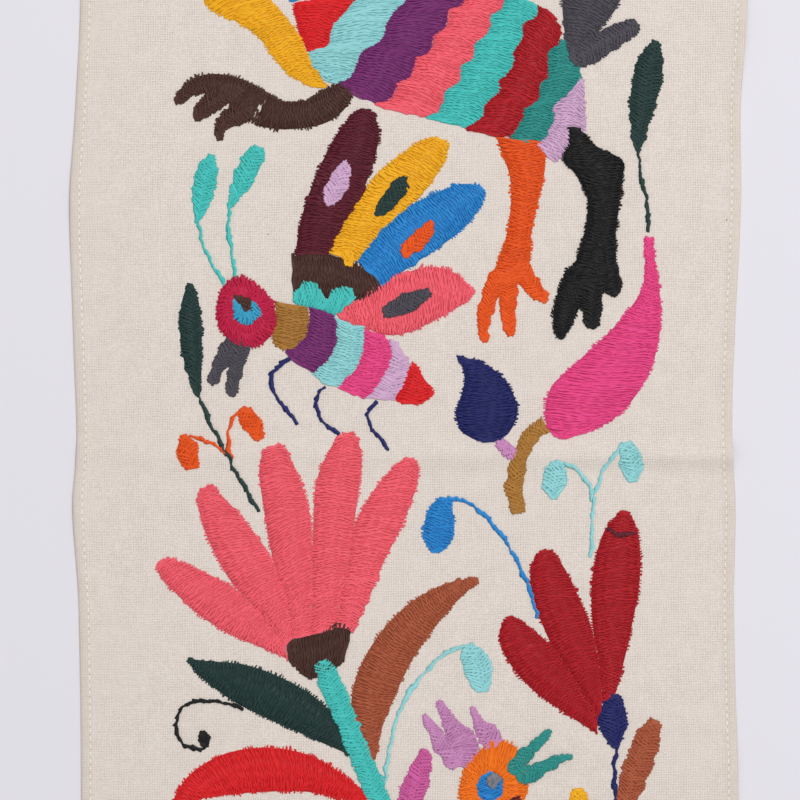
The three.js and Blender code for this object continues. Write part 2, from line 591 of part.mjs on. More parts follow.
// A sprig: a stem of stem stitch that leans, with leaves on both sides by turns.
function sprig(x, y, lean, colours) {
  const fields = [line("rust", [[x, y], [x + lean / 2, y + sprigHeight / 2], [x + lean, y + sprigHeight]])];
  colours.forEach((colour, index) => {
    const side = index % 2 ? 1 : -1;
    const foot = sprigFoot + index * sprigStep;
    const stem = x + (lean * foot) / sprigHeight;
    const rows = sprigLeafTable.map(({ out, up, half }) => [stem + side * out, y + foot + up, half]);
    fields.push(leaf(colour, rows));
  });
  return fields;
}

// Beyond the view the cloth is finished plainly with round flowers and sprigs of leaves.
const farFields = [
  ...rosette("orange", "bottle", 84, 284, 6, 27),
  ...rosette("coral", "navy", -92, 296, 6, 26),
  ...sprig(2, 248, 4, ["purple", "teal", "yellow", "crimson"]),
  ...rosette("yellow", "maroon", -74, -214, 6, 28),
  ...sprig(-74, -318, 3, ["turquoise", "pink", "rust", "purple"]),
  ...rosette("red", "teal", 106, -228, 6, 25),
  ...sprig(100, -318, -4, ["lilac", "orange", "bottle", "magenta"]),
];

// The whole cloth is one solid: each field is joined to it, and its faces keep their thread's colour.
function embroideredCloth() {
  const sourceId = (piece) => piece.getMesh().runOriginalID[0];
  let solid = clothSolid();
  const colourOf = new Map([[sourceId(solid), clothColour]]);
  for (const field of [...beast, ...dragonfly, ...leftPlants, ...rightPlants, ...bird, ...farFields]) {
    const pad = padSolid(field);
    colourOf.set(sourceId(pad), thread[field.colour]);
    solid = solid.add(pad);
  }
  const { vertProperties, triVerts, runIndex, runOriginalID } = solid.getMesh();
  const positions = [];
  const colours = [];
  runOriginalID.forEach((id, run) => {
    const colour = new THREE.Color(colourOf.get(id));
    for (let corner = runIndex[run]; corner < runIndex[run + 1]; corner++) {
      positions.push(...vertProperties.subarray(triVerts[corner] * 3, triVerts[corner] * 3 + 3));
      colours.push(...colour.toArray());
    }
  });
  const geometry = new THREE.BufferGeometry();
  geometry.setAttribute("position", new THREE.Float32BufferAttribute(positions, 3));
  geometry.setAttribute("color", new THREE.Float32BufferAttribute(colours, 3));
  geometry.computeVertexNormals();
  return geometry;
}

const cloth = new THREE.Mesh(
  embroideredCloth(),
  new THREE.MeshStandardMaterial({ vertexColors: true, roughness: 0.85, metalness: 0 }),
);
cloth.name = "cloth";

const part = new THREE.Group();
part.add(cloth);

export default part;
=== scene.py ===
import math

import bpy
import numpy as np
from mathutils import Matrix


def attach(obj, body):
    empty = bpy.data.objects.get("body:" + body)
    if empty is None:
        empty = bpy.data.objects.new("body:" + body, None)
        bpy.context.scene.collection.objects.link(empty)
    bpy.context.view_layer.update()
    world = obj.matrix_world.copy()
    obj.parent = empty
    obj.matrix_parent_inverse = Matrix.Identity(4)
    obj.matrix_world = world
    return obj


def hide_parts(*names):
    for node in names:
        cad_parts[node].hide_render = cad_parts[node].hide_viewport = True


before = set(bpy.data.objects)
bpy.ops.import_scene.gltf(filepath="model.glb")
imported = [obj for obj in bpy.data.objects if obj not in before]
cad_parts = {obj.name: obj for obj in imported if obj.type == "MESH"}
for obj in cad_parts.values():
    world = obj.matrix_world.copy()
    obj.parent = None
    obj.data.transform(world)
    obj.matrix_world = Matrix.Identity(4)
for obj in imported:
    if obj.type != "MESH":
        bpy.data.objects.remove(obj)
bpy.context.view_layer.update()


# The place the cloth lies in: a pale matt table top, even light from all round and one large soft lamp
# high up at the upper right, and a camera far above that looks straight down. None of it is the cloth.
MM = 0.001
table_size = 6.0
table_drop = 0.05 * MM
room_colour, room_strength = "#fafafd", 0.595
lamp_place = (0.75, 0.85, 2.5)
lamp_size, lamp_power, lamp_colour = 0.9, 37.0, "#fffefd"
view_middle = (-3.8 * MM, 28.0 * MM)
view_width = 362.0 * MM
view_lens, view_sensor = 120.0, 36.0


def linear(hex_colour):
    """An sRGB hex colour as linear red, green, blue and alpha."""
    parts = [int(hex_colour[i:i + 2], 16) / 255 for i in (1, 3, 5)]
    return [p / 12.92 if p <= 0.04045 else ((p + 0.055) / 1.055) ** 2.4 for p in parts] + [1.0]


def add(tree, kind, inputs=None, **settings):
    """Adds a node. Settings are its properties; inputs are values, sockets or nodes, by name or number."""
    node = tree.nodes.new(kind)
    for name, value in settings.items():
        setattr(node, name, value)
    for name, value in (inputs or {}).items():
        if isinstance(value, bpy.types.Node):
            value = value.outputs[0]
        if isinstance(value, bpy.types.NodeSocket):
            tree.links.new(value, node.inputs[name])
        else:
            node.inputs[name].default_value = value
    return node


def new_material(name, finish):
    """A material with its tree and its shader's inputs, of which the finish sets some."""
    material = bpy.data.materials.new(name)
    material.use_nodes = True
    surface = material.node_tree.nodes["Principled BSDF"].inputs
    for key, value in finish.items():
        surface[key].default_value = value
    return material, material.node_tree, surface


def placed(name, data):
    """A new object in the scene."""
    made = bpy.data.objects.new(name, data)
    bpy.context.scene.collection.objects.link(made)
    return made


def mesh_object(name, points, faces, material):
    """A smooth mesh object from points and faces, with one material."""
    mesh = bpy.data.meshes.new(name)
    mesh.from_pydata(np.asarray(points).tolist(), [], [tuple(face) for face in faces])
    mesh.polygons.foreach_set("use_smooth", np.ones(len(mesh.polygons), bool))
    mesh.materials.append(material)
    return placed(name, mesh)


# Painted board: pale and quite matt, with a mottle too faint to draw the eye.
board, tree, surface = new_material("matt painted board", {"Roughness": 0.9})
mottle = add(tree, "ShaderNodeTexNoise", {"Scale": 6.0, "Detail": 2.0})
board_tone = add(tree, "ShaderNodeMix", {
    "Factor": mottle, "A": linear("#e3e1e7"), "B": linear("#e4e2e8")}, data_type="RGBA")
tree.links.new(board_tone.outputs["Result"], surface["Base Color"])
half_table = table_size / 2
corners = [(x * half_table, y * half_table, -table_drop) for x, y in ((-1, -1), (1, -1), (1, 1), (-1, 1))]
table = mesh_object("table_top", corners, [(0, 1, 2, 3)], board)

room = bpy.data.worlds.new("even room light")
room.use_nodes = True
room.node_tree.nodes["Background"].inputs["Color"].default_value = linear(room_colour)
room.node_tree.nodes["Background"].inputs["Strength"].default_value = room_strength
bpy.context.scene.world = room
bpy.context.scene.view_settings.view_transform = "Standard"

lamp = placed("soft_lamp", bpy.data.lights.new("soft_lamp", "AREA"))
lamp.data.size = lamp_size
lamp.data.energy = lamp_power
lamp.data.color = linear(lamp_colour)[:3]
lamp.location = lamp_place
lamp.rotation_euler = lamp.location.to_track_quat("Z", "Y").to_euler()

camera = placed("camera", bpy.data.cameras.new("camera"))
camera.data.lens = view_lens
camera.data.sensor_width = view_sensor
camera.location = (*view_middle, view_width * view_lens / view_sensor)
bpy.context.scene.camera = camera


# The panel: one length of undyed cotton manta, a plain weave of uneven yarn, turned under twice on every
# edge. It lies flat but for the fold line left by storing it folded in half, and a few places where an
# edge lifts a little. The weave's squares are drawn 1.1 by 1.13 mm, as coarse as they need to be to show.
cloth_length = 680.0
cloth_half_width = 150.0
side_hem, end_hem = 5.0, 8.0
hem_past, hem_blend = 0.9, 1.4
cloth_top, cloth_under = 1.2, 0.3
hem_top, hem_round, hem_edge = 1.65, 1.8, 0.12
seam_from_side, seam_from_end = 4.4, 6.6
seam_dent, seam_dent_width, seam_turn = 0.22, 0.45, 0.6
warp_pitch, weft_pitch = 1.1, 1.13
fold_y, fold_half_width = 3.0, 5.0
fold_left, fold_right = 0.8, 3.2
edge_rows = np.array([
    (-340, -150.2, 148.8), (-230, -149.0, 150.2), (-143, -148.1, 149.1), (-64, -149.2, 147.3),
    (-20, -151.8, 148.1), (8, -150.1, 146.5), (49, -151.4, 147.4), (117, -153.2, 150.5),
    (162, -150.6, 150.4), (207, -148.5, 153.2), (262, -149.5, 151.6), (340, -151.0, 149.8),
])  # y, then x of the left and of the right edge
edge_humps = [(153, 196, 26, 1.6), (-152, 118, 20, 0.8), (-151, -22, 16, 0.7), (149, -140, 22, 0.9)]


def spline(rows, where):
    """Points on the smooth curve through rows, at places counted in rows from the first."""
    rows = np.asarray(rows, float)
    low = np.clip(np.floor(where).astype(int), 0, len(rows) - 2)
    share = (where - low)[:, None]
    a, b, c, d = (rows[np.clip(low + step, 0, len(rows) - 1)] for step in (-1, 0, 1, 2))
    bend = (2 * a - 5 * b + 4 * c - d) * share**2 + (3 * b - a - 3 * c + d) * share**3
    return 0.5 * (2 * b + (c - a) * share + bend)


def edges_at(y):
    """The left and the right edge at places along the cloth."""
    return spline(edge_rows[:, 1:], np.interp(y, edge_rows[:, 0], np.arange(len(edge_rows))))


def lift_at(x, y):
    """How far the cloth is off the table: the fold line and the lifted edges."""
    across = np.clip((x / cloth_half_width + 1) / 2, 0, 1)
    fold_height = fold_left + (fold_right - fold_left) * across**2
    lift = fold_height * np.exp(-(((y - fold_y) / fold_half_width) ** 2))
    for hump_x, hump_y, reach, height in edge_humps:
        lift = lift + height * np.exp(-((2 * np.hypot(x - hump_x, (y - hump_y) * 0.6) / reach) ** 2))
    return lift


def ripple_at(x, y):
    """The slight unevenness of a cloth that was never quite pressed flat."""
    return 0.13 * np.sin(x / 19 + 1.3 * np.sin(y / 31)) * np.cos(y / 23 + 0.8 * np.sin(x / 27))


def panel_top_at(x, y):
    """Height of the cloth's upper face away from its hems."""
    return lift_at(x, y) + ripple_at(x, y) + cloth_top


def hem_share(from_edge, hem):
    """How far a place belongs to a hem: 1 inside it, and 0 from just past its inner edge."""
    share = np.clip((hem + hem_past - from_edge) / hem_blend, 0, 1)
    return share * share * (3 - 2 * share)


def seam_share(from_edge, seam, from_next, next_seam):
    """How near a place is to one run of the seam, which ends where the next run turns off."""
    return np.exp(-(((from_edge - seam) / seam_dent_width) ** 2)) * (from_next > next_seam - seam_turn)


near_edge = np.array([0, 0.1, 0.4, 1.0, 2.0, 3.6, 4.0, 4.4, 4.8, 5.4, 6.2, 7.4])
near_end = np.array([0, 0.2, 0.6, 1.2, 3.0, 5.0, 6.1, 6.6, 7.1, 8.0, 9.4, 11.0])
half_length = cloth_length / 2
grid_margin, grid_step, fold_step, fold_reach = 14.0, 4.0, 1.2, 15.0
inner_rows = np.arange(grid_margin - half_length, half_length - grid_margin + 1, grid_step)
fold_rows = np.arange(fold_y - fold_reach, fold_y + fold_reach + 0.1, fold_step)
grid_rows = np.sort(np.concatenate([
    near_end - half_length, half_length - near_end, fold_rows,
    inner_rows[np.abs(inner_rows - fold_y) > fold_reach + 1],
]))
inner_columns = np.linspace(0, 1, 75)[1:-1]
points_x, from_side = [], []
for left, right in edges_at(grid_rows):
    start, stop = left + near_edge[-1], right - near_edge[-1]
    inner = start + (stop - start) * inner_columns
    row = np.concatenate([left + near_edge, inner, (right - near_edge)[::-1]])
    points_x.append(row)
    from_side.append(np.minimum(row - left, right - row))
points_x, from_side = np.array(points_x), np.array(from_side)
points_y = np.broadcast_to(grid_rows[:, None], points_x.shape)
from_end = half_length - np.abs(points_y)
in_hem = np.maximum(hem_share(from_side, side_hem), hem_share(from_end, end_hem))
seam_line = np.maximum(seam_share(from_side, seam_from_side, from_end, seam_from_end),
                       seam_share(from_end, seam_from_end, from_side, seam_from_side))
lift = lift_at(points_x, points_y)
upper = lift + cloth_top + ripple_at(points_x, points_y) * (1 - in_hem) + (hem_top - cloth_top) * in_hem
upper -= seam_dent * seam_line
under = lift + cloth_under * (1 - in_hem)
edge_share = np.clip(np.minimum(from_side, from_end) / hem_round, 0, 1)
bulge = np.sqrt(1 - (1 - edge_share) ** 2) * (1 - hem_edge) + hem_edge
upper = under + (upper - under) * bulge
number = np.arange(points_x.size).reshape(points_x.shape)
a, b, c, d = number[:-1, :-1], number[:-1, 1:], number[1:, 1:], number[1:, :-1]
top_faces = np.stack([a, b, c, d], -1).reshape(-1, 4)
rim = np.concatenate([number[0, :-1], number[:-1, -1], number[-1, :0:-1], number[:0:-1, 0]])
rim_next = np.roll(rim, -1)
rim_faces = np.stack([rim, rim + number.size, rim_next + number.size, rim_next], -1)
panel_faces = np.concatenate([top_faces, top_faces[:, ::-1] + number.size, rim_faces])
panel_points = [np.stack([points_x, points_y, z], -1).reshape(-1, 3) for z in (upper, under)]


# Undyed cotton manta: matt and warm, with a regular weave, a thick yarn here and there, a few brown
# specks of seed husk, and a shade more colour where the hem lies in three layers. The small holes
# between the yarns carry painted shade: a dark brown mixed into the colour where the weave opens.
manta, tree, surface = new_material("undyed cotton manta, plain weave", {
    "Roughness": 0.93, "Specular IOR Level": 0.2, "Sheen Weight": 0.12, "Sheen Roughness": 0.6})
yarn_sway, yarn_sway_size = 1.6, 11
slub_sizes = [(9, 0.7, 1), (0.8, 10, 1)]
patch_size, grain_size, husk_size = 9, 0.7, 9
hole_sharpness, hem_depth, weave_depth = 1.4, 0.24, 0.1
husk_rim, husk_core, husk_rarity = 0.045, 0.02, 0.88
closed_share, open_share = 0.45, 1.1
at = add(tree, "ShaderNodeTexCoord").outputs["Object"]
sway = add(tree, "ShaderNodeTexNoise", {"Vector": at, "Scale": 1 / (yarn_sway_size * MM), "Detail": 2.0})
sway = add(tree, "ShaderNodeVectorMath", {0: sway.outputs["Color"], 1: (0.5,) * 3}, operation="SUBTRACT")
swayed = add(tree, "ShaderNodeVectorMath",
             {0: sway, 1: (yarn_sway * MM,) * 3, 2: at}, operation="MULTIPLY_ADD")
swayed = add(tree, "ShaderNodeSeparateXYZ", {0: swayed})
yarns = []
for axis, pitch in (("X", warp_pitch), ("Y", weft_pitch)):
    per_turn = math.pi / (pitch * MM)
    turns = add(tree, "ShaderNodeMath", {0: swayed.outputs[axis], 1: per_turn}, operation="MULTIPLY")
    wave = add(tree, "ShaderNodeMath", {0: turns}, operation="SINE")
    yarns.append(add(tree, "ShaderNodeMath", {0: wave}, operation="ABSOLUTE"))
gaps = [add(tree, "ShaderNodeMath", {0: 1.0, 1: yarn}, operation="SUBTRACT") for yarn in yarns]
hole = add(tree, "ShaderNodeMath", {0: gaps[0], 1: gaps[1]}, operation="MULTIPLY")
hole = add(tree, "ShaderNodeMath", {0: hole, 1: hole_sharpness}, operation="POWER")
woven = add(tree, "ShaderNodeMath", {0: yarns[0], 1: yarns[1]}, operation="MULTIPLY")
slubs = []
for sizes in slub_sizes:
    drawn_out = add(tree, "ShaderNodeMapping", {"Vector": at, "Scale": [1 / (size * MM) for size in sizes]})
    slubs.append(add(tree, "ShaderNodeTexNoise", {"Vector": drawn_out, "Scale": 1.0, "Detail": 2.0}))
slub = add(tree, "ShaderNodeMath", {0: slubs[0], 1: slubs[1]}, operation="ADD")
patch = add(tree, "ShaderNodeTexNoise", {"Vector": at, "Scale": 1 / (patch_size * MM), "Detail": 4.0})
openness = add(tree, "ShaderNodeMapRange", {
    "Value": patch, "From Min": 0.38, "From Max": 0.64, "To Min": closed_share, "To Max": open_share})
hole_shade_share = add(tree, "ShaderNodeMath", {0: hole, 1: openness}, operation="MULTIPLY")
yarn_tone = add(tree, "ShaderNodeMapRange", {"Value": slub, "From Min": 0.3, "From Max": 1.7})
grain = add(tree, "ShaderNodeTexNoise", {"Vector": at, "Scale": 1 / (grain_size * MM), "Detail": 1.0})
grain_tone = add(tree, "ShaderNodeMath", {0: grain, 1: 3.0, 2: -1.5}, operation="MULTIPLY_ADD")
cream_share = add(tree, "ShaderNodeMath", {0: yarn_tone, 1: grain_tone}, operation="ADD")
cream = add(tree, "ShaderNodeMix", {
    "Factor": cream_share, "A": linear("#d9cec4"), "B": linear("#e7ded5")}, data_type="RGBA")
# Painted shade: the holes between the yarns are darkened towards a deep brown.
hole_shaded = add(tree, "ShaderNodeMix", {
    "Factor": hole_shade_share, "A": cream.outputs["Result"], "B": linear("#8f7e6c")}, data_type="RGBA")
hem_place = add(tree, "ShaderNodeAttribute", attribute_name="in_hem").outputs["Fac"]
hem_tint = add(tree, "ShaderNodeMath", {0: hem_place, 1: hem_depth}, operation="MULTIPLY")
hemmed = add(tree, "ShaderNodeMix", {
    "Factor": hem_tint, "A": hole_shaded.outputs["Result"], "B": linear("#cbbca8")}, data_type="RGBA")
husk = add(tree, "ShaderNodeTexVoronoi", {"Vector": at, "Scale": 1 / (husk_size * MM)})
husk_pick = add(tree, "ShaderNodeSeparateColor", {0: husk.outputs["Color"]})
husk_here = add(tree, "ShaderNodeMath", {0: husk_pick, 1: husk_rarity}, operation="GREATER_THAN")
husk_near = add(tree, "ShaderNodeMapRange", {
    "Value": husk.outputs["Distance"], "From Min": husk_rim, "From Max": husk_core})
husk_share = add(tree, "ShaderNodeMath", {0: husk_near, 1: husk_here}, operation="MULTIPLY")
specked = add(tree, "ShaderNodeMix", {
    "Factor": husk_share, "A": hemmed.outputs["Result"], "B": linear("#6b5340")}, data_type="RGBA")
tree.links.new(specked.outputs["Result"], surface["Base Color"])
weave_height = add(tree, "ShaderNodeMath", {0: slub, 1: 0.5, 2: woven}, operation="MULTIPLY_ADD")
weave_bump = add(tree, "ShaderNodeBump", {
    "Height": weave_height, "Distance": weave_depth * MM, "Strength": 0.5})
tree.links.new(weave_bump.outputs[0], surface["Normal"])


def note(piece, name, values):
    """Notes a number, or a place, for each point of a piece."""
    values = np.asarray(values, np.float32)
    kind, key = ("FLOAT", "value") if values.ndim == 1 else ("FLOAT_VECTOR", "vector")
    piece.data.attributes.new(name, kind, "POINT").data.foreach_set(key, values.ravel())


panel = mesh_object("cotton_panel", np.concatenate(panel_points) * MM, panel_faces, manta)
note(panel, "in_hem", np.tile(in_hem.ravel(), 2))
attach(panel, "root")
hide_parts("cloth")


# The hem seam: one row of machine lockstitch in cream cotton, 3.4 mm a stitch, that holds the turned hem
# down. Each stitch is a short round of thread between two needle holes, pulled a little into the cloth.
# The needle holes are small flat dark discs set into the cloth, painted shade for the hollow of each hole.
seam_pitch, seam_stitch = 3.4, 2.5
seam_thread, seam_sink = 0.62, 0.05
needle_hole, hole_depth = 0.62, 0.12
seam_step, end_points = 2.0, 120


def new_tree(name, inputs):
    """A Geometry Nodes tree with a mesh in, a mesh out and inputs, each a length or a kind of socket."""
    tree = bpy.data.node_groups.new(name, "GeometryNodeTree")
    for label, value in {"Geometry": "Geometry", **inputs}.items():
        kind = value if isinstance(value, str) else "Float"
        socket = tree.interface.new_socket(label, in_out="INPUT", socket_type=f"NodeSocket{kind}")
        if kind == "Float":
            socket.default_value = value * MM
    tree.interface.new_socket("Geometry", in_out="OUTPUT", socket_type="NodeSocketGeometry")
    return tree, tree.nodes.new("NodeGroupInput").outputs, tree.nodes.new("NodeGroupOutput")


def lay_on_panel(tree, geometry, cloth, material):
    """Moves each point up by the height of the cloth under it, and gives all of it a material."""
    at = add(tree, "GeometryNodeInputPosition")
    above = add(tree, "ShaderNodeVectorMath",
                {0: at, 1: (1, 1, 0), 2: (0, 0, 50 * MM)}, operation="MULTIPLY_ADD")
    target = add(tree, "GeometryNodeObjectInfo", {"Object": cloth})
    met = add(tree, "GeometryNodeRaycast", {
        "Target Geometry": target.outputs["Geometry"], "Source Position": above,
        "Ray Direction": (0, 0, -1), "Ray Length": 100 * MM})
    height = add(tree, "ShaderNodeVectorMath",
                 {0: met.outputs["Hit Position"], 1: (0, 0, 1)}, operation="MULTIPLY")
    laid = add(tree, "GeometryNodeSetPosition", {"Geometry": geometry, "Offset": height})
    soft = add(tree, "GeometryNodeSetShadeSmooth", {"Geometry": laid})
    return add(tree, "GeometryNodeSetMaterial", {"Geometry": soft, "Material": material}).outputs[0]


def grown(name, base, tree, values):
    """The plain mesh that a tree makes from a base object, its inputs set by the sockets' identifiers."""
    modifier = base.modifiers.new("made", "NODES")
    modifier.node_group = tree
    for socket in tree.interface.items_tree:
        if socket.in_out == "INPUT" and socket.name in values:
            modifier[socket.identifier] = values[socket.name]
    base.update_tag()
    made = bpy.data.meshes.new_from_object(base.evaluated_get(bpy.context.evaluated_depsgraph_get()))
    base.modifiers.remove(modifier)
    made.name = name
    return made


def route_object(name, points, edges):
    """An object of bare points and edges for a tree to start from."""
    mesh = bpy.data.meshes.new(name)
    mesh.from_pydata(np.asarray(points).tolist(), np.asarray(edges).tolist(), [])
    return placed(name, mesh)


seam_tree, given, result = new_tree("hem seam", {
    "Cloth": "Object", "Stitch pitch": seam_pitch, "Stitch length": seam_stitch, "Thread width": seam_thread,
    "Hole width": needle_hole, "Thread": "Material", "Hole": "Material"})
tree = seam_tree
path = add(tree, "GeometryNodeMeshToCurve", {"Mesh": given["Geometry"]})
places = add(tree, "GeometryNodeResampleCurve",
             {"Curve": path, "Length": given["Stitch pitch"]}, mode="LENGTH")
ahead = add(tree, "GeometryNodeInputTangent")
turn = add(tree, "FunctionNodeAlignRotationToVector", {"Vector": ahead}, axis="X", pivot_axis="Z")
half_pitch = add(tree, "ShaderNodeMath", {0: given["Stitch pitch"], 1: 0.5}, operation="MULTIPLY")
half_on = add(tree, "ShaderNodeVectorMath", {0: ahead, "Scale": half_pitch}, operation="SCALE")
between = add(tree, "GeometryNodeSetPosition", {"Geometry": places, "Offset": half_on})
round_of_thread, pit = (
    add(tree, "GeometryNodeMeshUVSphere", {"Segments": 6, "Rings": rings, "Radius": 0.5}) for rings in (5, 4))
dash_size = add(tree, "ShaderNodeCombineXYZ", {
    0: given["Stitch length"], 1: given["Thread width"], 2: given["Thread width"]})
pit_size = add(tree, "ShaderNodeCombineXYZ", {
    0: given["Hole width"], 1: given["Hole width"], 2: hole_depth * MM})
dashes = add(tree, "GeometryNodeInstanceOnPoints", {
    "Points": places, "Instance": round_of_thread, "Rotation": turn, "Scale": dash_size})
# The pits: flattened dark discs, painted shade for the needle holes.
pits = add(tree, "GeometryNodeInstanceOnPoints", {"Points": between, "Instance": pit, "Scale": pit_size})
parts = add(tree, "GeometryNodeJoinGeometry")
for copies, material in ((dashes, "Thread"), (pits, "Hole")):
    real = add(tree, "GeometryNodeRealizeInstances", {0: copies})
    tree.links.new(lay_on_panel(tree, real, given["Cloth"], given[material]), parts.inputs[0])
tree.links.new(parts.outputs[0], result.inputs[0])

# Fine twisted cotton: cream, a little brighter than the cloth and matt.
seam_cotton, tree, surface = new_material("fine twisted cotton, cream", {"Roughness": 0.8})
twist = add(tree, "ShaderNodeTexWave", {"Scale": 1 / (0.5 * MM)}, bands_direction="DIAGONAL")
twist_tone = add(tree, "ShaderNodeMix", {
    "Factor": twist.outputs["Fac"], "A": linear("#ebe3d6"), "B": linear("#f9f4ec")}, data_type="RGBA")
tree.links.new(twist_tone.outputs["Result"], surface["Base Color"])

# Painted shade for a needle hole: a dark, mottled brown for the flat disc that stands in for the shade
# where the weave is pushed apart.
needle_hole_shade, tree, surface = new_material("cotton manta, needle hole", {"Roughness": 0.95})
hole_shade_noise = add(tree, "ShaderNodeTexNoise", {"Scale": 1 / (0.3 * MM)})
hole_shade_tone = add(tree, "ShaderNodeMix", {
    "Factor": hole_shade_noise, "A": linear("#6f5f50"), "B": linear("#94826f")}, data_type="RGBA")
tree.links.new(hole_shade_tone.outputs["Result"], surface["Base Color"])

seam_y = np.arange(-half_length + seam_from_end, half_length - seam_from_end + 0.1, seam_step)
seam_x = edges_at(seam_y) + [seam_from_side, -seam_from_side]
seam_lines = [np.column_stack([seam_x[:, side], seam_y]) for side in (0, 1)]
seam_lines += [np.linspace(*(line[end] for line in seam_lines[:2]), end_points) for end in (0, -1)]
seam_points, seam_edges = [], []
for line_points in seam_lines:
    first = len(seam_points)
    seam_points += [(x * MM, y * MM, -seam_sink * MM) for x, y in line_points]
    seam_edges += [(k, k + 1) for k in range(first, len(seam_points) - 1)]
seam_route = route_object("hem_seam", seam_points, seam_edges)
seam_route.data = grown("hem_seam", seam_route, seam_tree,
                        {"Cloth": panel, "Thread": seam_cotton, "Hole": needle_hole_shade})
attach(seam_route, "root")


# The beast: a striped animal that faces left, worked by hand in stranded cotton. Every field is filled
# with closed herringbone, whose long stitches cross from edge to edge and lie over one another, and its
# stripes meet in scallops. Its head, back and tail run past the view and are finished plainly.
floss = {
    "maroon": "#5f1127", "crimson": "#b70e1f", "red": "#ea1d24", "coral": "#ff6877", "pink": "#f44b90",
    "cerise": "#c81247", "magenta": "#d663a6", "orchid": "#d191c2", "lilac": "#dbb4d5", "purple": "#7e2d73",
    "navy": "#1c2365", "blue": "#248ed7", "sky": "#38a6cc", "aqua": "#9ddfe1", "turquoise": "#4bccc5",
    "teal": "#2b958e", "bottle": "#1f3b38", "yellow": "#ffbd16", "ochre": "#b58037", "orange": "#f15a0f",
    "tangerine": "#ff7f0d", "rust": "#b15b3a", "brown": "#4e2f26", "slate": "#4e4a53", "grey": "#84858c",
    "black": "#0e0e10",
}
stitch_pitch = 1.3
stitch_lead, narrow_lead = 3.4, 4.4
narrow_field, narrow_girth = 13.0, 1.3
stitch_wide, stitch_thick = 0.86, 0.62
stitch_rings, stitch_sides = 8, 5
layer_height, end_bunching = 0.5, -0.11
wander, wander_size = 1.9, 5.0
least_plump, most_plump = 0.86, 1.12
least_tone, most_tone = 0.82, 1.0
# strand_shade sets how far the painted shade in the grooves between a stitch's strands darkens it.
strand_length, strand_turns, strand_depth, strand_shade = 0.55, 9.0, 0.07, 0.76
along_jitter, across_jitter = 0.2, 0.45
stem_length, stem_pitch, stem_slant = 6.0, 3.6, 0.42
# The pads under the stitches take a lower tone, which is painted shade for the slits between the stitches.
pad_inset, pad_rise, pad_crown, pad_foot, pad_painted_shade = 0.15, 0.24, 0.1, -0.3, 0.64
inset_rise, inset_gap = 0.3, 0.3
rail_step, part_steps = 1.5, 33
scallop_length, scallop_middle = 13.5, 0.6


def run_along(path):
    """How far along a path each of its points lies."""
    return np.concatenate([[0], np.cumsum(np.hypot(*np.diff(path, axis=0).T))])


def sideways(path):
    """A step of one to the left of a path, at each of its points."""
    ahead = np.gradient(path, axis=0)
    ahead /= np.hypot(*ahead.T)[:, None]
    return np.stack([-ahead[:, 1], ahead[:, 0]], -1)


def places_on(path, run, at):
    """What a path's rows come to at distances along it."""
    return np.stack([np.interp(at, run, path[:, k]) for k in (0, 1)], -1)


def smooth(rows):
    """The smooth curve through a table of rows, at steps close enough for a rail."""
    length = run_along(np.asarray(rows, float)[:, :2])[-1]
    return spline(rows, np.linspace(0, len(rows) - 1, max(6, int(length / rail_step))))


def field_from(colour, left, right, caps, **more):
    """A field of stitches between two rails, each a row of points at even steps. Its ends are drawn in to
    round caps, each as high as a share of half the end's width. A narrow field is worked in thicker
    thread, and its stitches lie less steeply across."""
    for is_last, cap in enumerate(caps):
        end, next_in = (-1, -4) if is_last else (0, 3)
        middle, half = (left[end] + right[end]) / 2, (left[end] - right[end]) / 2
        outward = middle - (left[next_in] + right[next_in]) / 2
        outward *= np.hypot(*half) * cap / max(np.hypot(*outward), 0.01)
        for turn in (0.6, 1.15) if cap else ():
            place = middle + outward * math.sin(turn)
            at = len(left) if is_last else 0
            left = np.insert(left, at, place + half * math.cos(turn), axis=0)
            right = np.insert(right, at, place - half * math.cos(turn), axis=0)
    narrow = np.hypot(*(left - right).T).max() < narrow_field
    lead, girth = (narrow_lead, narrow_girth) if narrow else (stitch_lead, 1.0)
    return {"colour": colour, "left": left, "right": right, "lead": lead, "girth": girth, **more}


def leaf(colour, rows, caps=(0.7, 0.7), **more):
    """A field along a spine. Columns: x, y, half width."""
    spine = smooth(rows)
    out = sideways(spine[:, :2]) * np.maximum(spine[:, 2], 0.6)[:, None]
    return field_from(colour, spine[:, :2] + out, spine[:, :2] - out, caps, **more)


def scalloped(rail, depth):
    """A stripe's edge with its scallops: even lobes that bulge to the right and meet in points."""
    bulge = depth * (np.abs(np.sin(np.pi * run_along(rail) / scallop_length)) - scallop_middle)
    return rail - sideways(rail) * bulge[:, None]


def band(colour, rows, scallops=(0, 0), caps=(0, 0), **more):
    """A field between two edges. Columns: x, y of the left edge, then x, y of the right edge."""
    rails = smooth(rows)
    left, right = (scalloped(rail, depth) for rail, depth in zip((rails[:, :2], rails[:, 2:]), scallops))
    return field_from(colour, left, right, caps, **more)


def disc(colour, x, y, radius_x, radius_y, **more):
    """A round field, worked from top to bottom."""
    angle = np.linspace(0.1, 0.9, 9) * math.pi
    rows = np.stack([np.full(9, x), y + radius_y * np.cos(angle), radius_x * np.sin(angle)], -1)
    return leaf(colour, rows, **more)


def line(colour, rows, girth=2.0):
    """A line of stem stitch, as thick as girth threads. Columns: x, y."""
    return {"colour": colour, "spine": smooth(rows), "girth": girth}


def inside(points, outline):
    """Which points lie inside a closed outline."""
    x, y = points[..., 0, None], points[..., 1, None]
    ends = np.roll(outline, -1, axis=0)
    rises = (outline[:, 1] > y) != (ends[:, 1] > y)
    across, up = (ends - outline).T
    slope = across / np.where(up == 0, 1e-9, up)
    return (np.sum(rises & (x < outline[:, 0] + slope * (y - outline[:, 1])), axis=-1) % 2).astype(bool)


